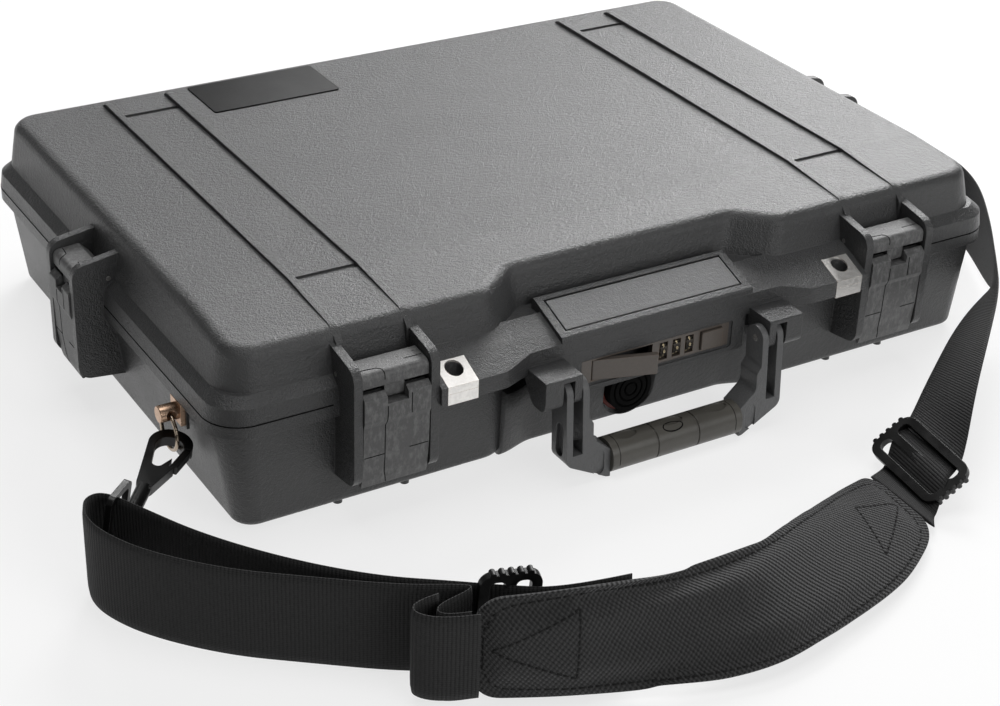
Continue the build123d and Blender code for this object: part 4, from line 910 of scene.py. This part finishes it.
def make_pad():
    """The padded piece: two faces with a closed rim, swollen by a cloth simulation."""
    feet, heads, middles, travelled = pad_surface()
    total = travelled[-1]
    mesh = bpy.data.meshes.new("shoulder_pad_cover")
    bm = bmesh.new()
    uv_layer = bm.loops.layers.uv.new("uv")
    spots = {}
    grid = {}
    for i in range(PAD_ROWS + 1):
        up = heads[i] - feet[i]
        out = heading(middles, i).cross(up).normalized()
        end = min(travelled[i], total - travelled[i])
        half = up.length / 2 - corner_shrink(end)
        for k in range(PAD_COLUMNS + 1):
            across = half * math.sin((k / PAD_COLUMNS - 0.5) * math.pi)
            thick = pad_thickness(min(half - abs(across), end))
            place = middles[i] + up.normalized() * across
            for side in (1, -1):
                vert = bm.verts.new(place + out * (side * thick / 2))
                grid[i, k, side] = vert
                spots[vert] = (travelled[i], across)
    quads = []
    for i in range(PAD_ROWS):
        for k in range(PAD_COLUMNS):
            for side in (1, -1):
                quad = [grid[i, k, side], grid[i, k + 1, side],
                        grid[i + 1, k + 1, side], grid[i + 1, k, side]]
                quads.append(quad[::side])
    for i in range(PAD_ROWS):
        for k in (0, PAD_COLUMNS):
            quads.append([grid[i, k, 1], grid[i + 1, k, 1], grid[i + 1, k, -1], grid[i, k, -1]])
    for i in (0, PAD_ROWS):
        for k in range(PAD_COLUMNS):
            quads.append([grid[i, k, 1], grid[i, k + 1, 1], grid[i, k + 1, -1], grid[i, k, -1]])
    for quad in quads:
        for loop in bm.faces.new(quad).loops:
            loop[uv_layer].uv = spots[loop.vert]
    finish_mesh(bm, mesh)
    pad = add_object("shoulder_pad_cover", mesh, pad_cloth, "base")
    inflate(pad, PAD_PRESSURE, PAD_SWELL)
    smooth = pad.modifiers.new("smooth", "SUBSURF")
    smooth.levels = 1
    smooth.render_levels = 1
    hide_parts("shoulder_pad")
    return pad, feet, heads, middles, travelled


STITCH_INSET = 0.0052       # of the stitched line from the pad's outline, metres
STITCH_STEP = 0.0036
STITCH_LENGTH = 0.0025
STITCH_WIDTH = 0.0013
STITCH_PROUD = 0.00025
STITCH_COLUMNS = 72
STITCH_ROUND = 0.8          # share of the pad's corner that the line follows
STITCH_DROP = 0.03          # rays onto the pad start this far off and reach a little further
STITCH_REACH = 0.035
TRIANGLE = (                # metres in from the pad's end, and across; the tip points at the end
    (0.048, 0.018), (0.009, 0.0), (0.048, -0.018), (0.048, 0.018),
)


def dashes_along(path):
    """Stitches along a path of flat points, each as its two ends and its middle."""
    dashes = []
    left_over = 0.0
    for start, end in zip(path, path[1:]):
        reach = (end[0] - start[0], end[1] - start[1])
        length = math.hypot(*reach)
        spot = left_over
        while spot + STITCH_LENGTH <= length:
            places = (spot, spot + STITCH_LENGTH / 2, spot + STITCH_LENGTH)
            dashes.append([(start[0] + reach[0] * d / length, start[1] + reach[1] * d / length)
                           for d in places])
            spot += STITCH_STEP
        left_over = max(spot - length, 0.0)
    return dashes


def make_stitching(pad, feet, heads, middles, travelled):
    """Running stitches along the pad's bound edge and in a triangle at each end, on both faces."""
    tree = mesh_tree(pad.data)
    total = travelled[-1]

    def station(along):
        """Middle, upward edge and outward direction of the pad at a length along it."""
        along = min(max(along, 0.0), total)
        k = max(i for i in range(len(travelled) - 1) if travelled[i] <= along or i == 0)
        share = (along - travelled[k]) / (travelled[k + 1] - travelled[k])
        middle = middles[k].lerp(middles[k + 1], share)
        up = (heads[k] - feet[k]).lerp(heads[k + 1] - feet[k + 1], share)
        out = (middles[k + 1] - middles[k]).cross(up).normalized()
        return middle, up, out

    def outline():
        corners = []
        for side in (1, -1):
            edge = []
            for i in range(STITCH_COLUMNS + 1):
                along = STITCH_INSET + (total - 2 * STITCH_INSET) * i / STITCH_COLUMNS
                half = station(along)[1].length / 2 - STITCH_INSET
                inner = min(along, total - along) - STITCH_INSET
                edge.append((along, side * (half - corner_shrink(max(inner, 0.0)) * STITCH_ROUND)))
            corners += edge[::side]
        return corners + corners[:1]

    def stitch(dash, side):
        """A dash laid on one face of the pad: its points and their normals."""
        spots = []
        normals = []
        for along, across in dash:
            middle, up, out = station(along)
            origin = middle + up.normalized() * across + out * side * STITCH_DROP
            place, normal, index, distance = tree.ray_cast(origin, -out * side, STITCH_REACH)
            if place is not None:
                spots.append(place)
                normals.append(normal if normal.dot(out * side) > 0 else -normal)
        return spots, normals

    paths = [outline(), TRIANGLE, [(total - along, across) for along, across in TRIANGLE]]
    dashes = [dash for path in paths for dash in dashes_along(path)]
    stitches = [stitch(dash, side) for dash in dashes for side in (1, -1)]
    lines = [line for line in stitches if len(line[0]) == 3]
    beads("pad_stitching", lines, thread, "base", STITCH_WIDTH, STITCH_PROUD)


FLAP_ROUTE = (      # webbing folded round the end of the pad: x, y and height of the lower edge, mm
    (-203.0, -337.0, 6), (-213, -334.0, 6), (-224, -328, 6), (-229, -320, 6), (-224, -314.5, 6),
    (-212, -314.5, 6),
)
FLAP_WIDTH = 0.047
FLAP_THICK = 0.0022


def make_flap():
    """A short piece of webbing, folded round at the pad's left end."""
    made, length = standing_strip("pad_end_flap", FLAP_ROUTE, 8, FLAP_WIDTH, FLAP_THICK)


HELD_ENDS = 0.006           # the cloth's ends are held over this length, metres
LOWEST = 0.0004             # nothing of it goes below this height


def inflate(piece, pressure, cap, frames=20):
    """Swells a closed cloth form from inside with its ends held, and keeps the result up to a cap."""
    group = piece.vertex_groups.new(name="held")
    low = min(v.co.x for v in piece.data.vertices)
    high = max(v.co.x for v in piece.data.vertices)
    held = [v.index for v in piece.data.vertices
            if v.co.x < low + HELD_ENDS or v.co.x > high - HELD_ENDS]
    group.add(held, 1.0, "REPLACE")
    before = [v.co.copy() for v in piece.data.vertices]
    cloth = piece.modifiers.new("cloth", "CLOTH")
    settings = cloth.settings
    settings.quality = 6
    settings.mass = 0.3
    settings.tension_stiffness = 14
    settings.compression_stiffness = 14
    settings.bending_stiffness = 0.6
    settings.use_pressure = True
    settings.uniform_pressure_force = pressure
    settings.vertex_group_mass = "held"
    settings.effector_weights.gravity = 0.0
    for step in range(1, frames + 1):
        scene.frame_set(step)
    graph = bpy.context.evaluated_depsgraph_get()
    moved = piece.evaluated_get(graph).to_mesh()
    places = [v.co.copy() for v in moved.vertices]
    piece.evaluated_get(graph).to_mesh_clear()
    piece.modifiers.remove(cloth)
    scene.frame_set(1)
    for vert, old, new in zip(piece.data.vertices, before, places):
        shift = new - old
        if shift.length > cap:
            shift = shift.normalized() * cap
        vert.co = old + shift
        vert.co.z = max(vert.co.z, LOWEST)
    piece.data.update()


# ------------------------------------------------------------------ light and floor
def area(name, place, aim, size, power, size_y=None):
    """A white area lamp at a place, turned to a point."""
    data = bpy.data.lights.new(name, "AREA")
    data.shape = "RECTANGLE"
    data.size = size
    data.size_y = size_y or size
    data.energy = power
    lamp = bpy.data.objects.new(name, data)
    lamp.location = place
    lamp.rotation_euler = (Vector(aim) - Vector(place)).to_track_quat("-Z", "Y").to_euler()
    scene.collection.objects.link(lamp)


BEHIND = Vector((0.5285, 0.849, 0.0))      # level direction straight away from the camera
BESIDE = Vector((0.849, -0.5285, 0.0))     # level direction to the picture's right
SOFTBOX_REACH = 1.5        # metres behind the case
SOFTBOX_AIM = (0.0, 0.0, 0.08)
AMBIENT = 0.10             # light from all sides; the camera itself sees white
FLOOR_LEVEL = -0.0002      # just under the feet, metres
FLOOR_SIZE = 30.0
FLOOR_GLOW = 0.72          # share by which the seen floor is white of its own
WHITE = (1.0, 1.0, 1.0, 1.0)
SOFTBOXES = (       # name, metres to the right, height, width, height of the box, watts
    ("box_right", 0.70, 0.96, 0.85, 1.15, 25.0),
    ("box_middle", 0.10, 1.38, 0.60, 0.66, 16.0),
    ("box_strip", -0.24, 0.93, 0.14, 0.52, 2.0),
    ("box_left", -0.92, 0.95, 0.30, 0.80, 3.6),
)
LAMPS = (           # name, place, the point it is turned to, size in metres, watts
    ("top", (-0.1, 0.0, 1.9), (0.0, 0.0, 0.05), 1.2, 13.0),
    ("front_fill", (0.5, -2.4, 1.1), (0.0, -0.1, 0.05), 1.7, 24.0),
)


def make_floor():
    """Paper floor, white in the picture but lit and shaded by the lamps."""
    bpy.ops.mesh.primitive_plane_add(size=FLOOR_SIZE, location=(0, 0, FLOOR_LEVEL))
    floor = bpy.context.object
    floor.name = "floor"
    g = Graph("floor_paper")
    g.set(Base_Color=(0.93, 0.93, 0.93, 1.0), Roughness=0.9, Specular_IOR_Level=0.1)
    lit = g.node("ShaderNodeEmission", Color=WHITE, Strength=1.0)
    rays = g.node("ShaderNodeLightPath")
    seen = g.math("MAXIMUM", rays.outputs["Is Camera Ray"], rays.outputs["Is Glossy Ray"])
    share = g.math("MULTIPLY", seen, FLOOR_GLOW)
    blend = g.node("ShaderNodeMixShader")
    g.put(share, blend.inputs[0])
    g.put(g.shader.outputs[0], blend.inputs[1])
    g.put(lit.outputs[0], blend.inputs[2])
    output = next(n for n in g.tree.nodes if n.type == "OUTPUT_MATERIAL")
    g.put(blend.outputs[0], output.inputs["Surface"])
    floor.data.materials.append(g.material)


def make_studio():
    """White surroundings, soft boxes behind the case, a lamp above, one in front, and the floor."""
    world = bpy.data.worlds.new("studio")
    scene.world = world
    world.use_nodes = True
    tree = world.node_tree
    paper = tree.nodes["Background"]
    paper.inputs[0].default_value = WHITE
    path = tree.nodes.new("ShaderNodeLightPath")
    level = tree.nodes.new("ShaderNodeMapRange")
    level.inputs["To Min"].default_value = AMBIENT
    level.inputs["To Max"].default_value = 1.0
    tree.links.new(path.outputs["Is Camera Ray"], level.inputs["Value"])
    tree.links.new(level.outputs[0], paper.inputs[1])
    for name, side, height, wide, tall, power in SOFTBOXES:
        place = BEHIND * SOFTBOX_REACH + BESIDE * side + Vector((0, 0, height))
        area(name, place, SOFTBOX_AIM, wide, power, tall)
    for name, place, aim, size, power in LAMPS:
        area(name, place, aim, size, power)
    make_floor()
    scene.view_settings.view_transform = "Standard"


make_camera()
finish_nodes()
make_apron()
make_parting_line()
make_latch_lines()
make_grip_lines()
make_dial_digits()
make_left_webbing()
make_right_webbing()
make_stitching(*make_pad())
make_flap()
make_studio()
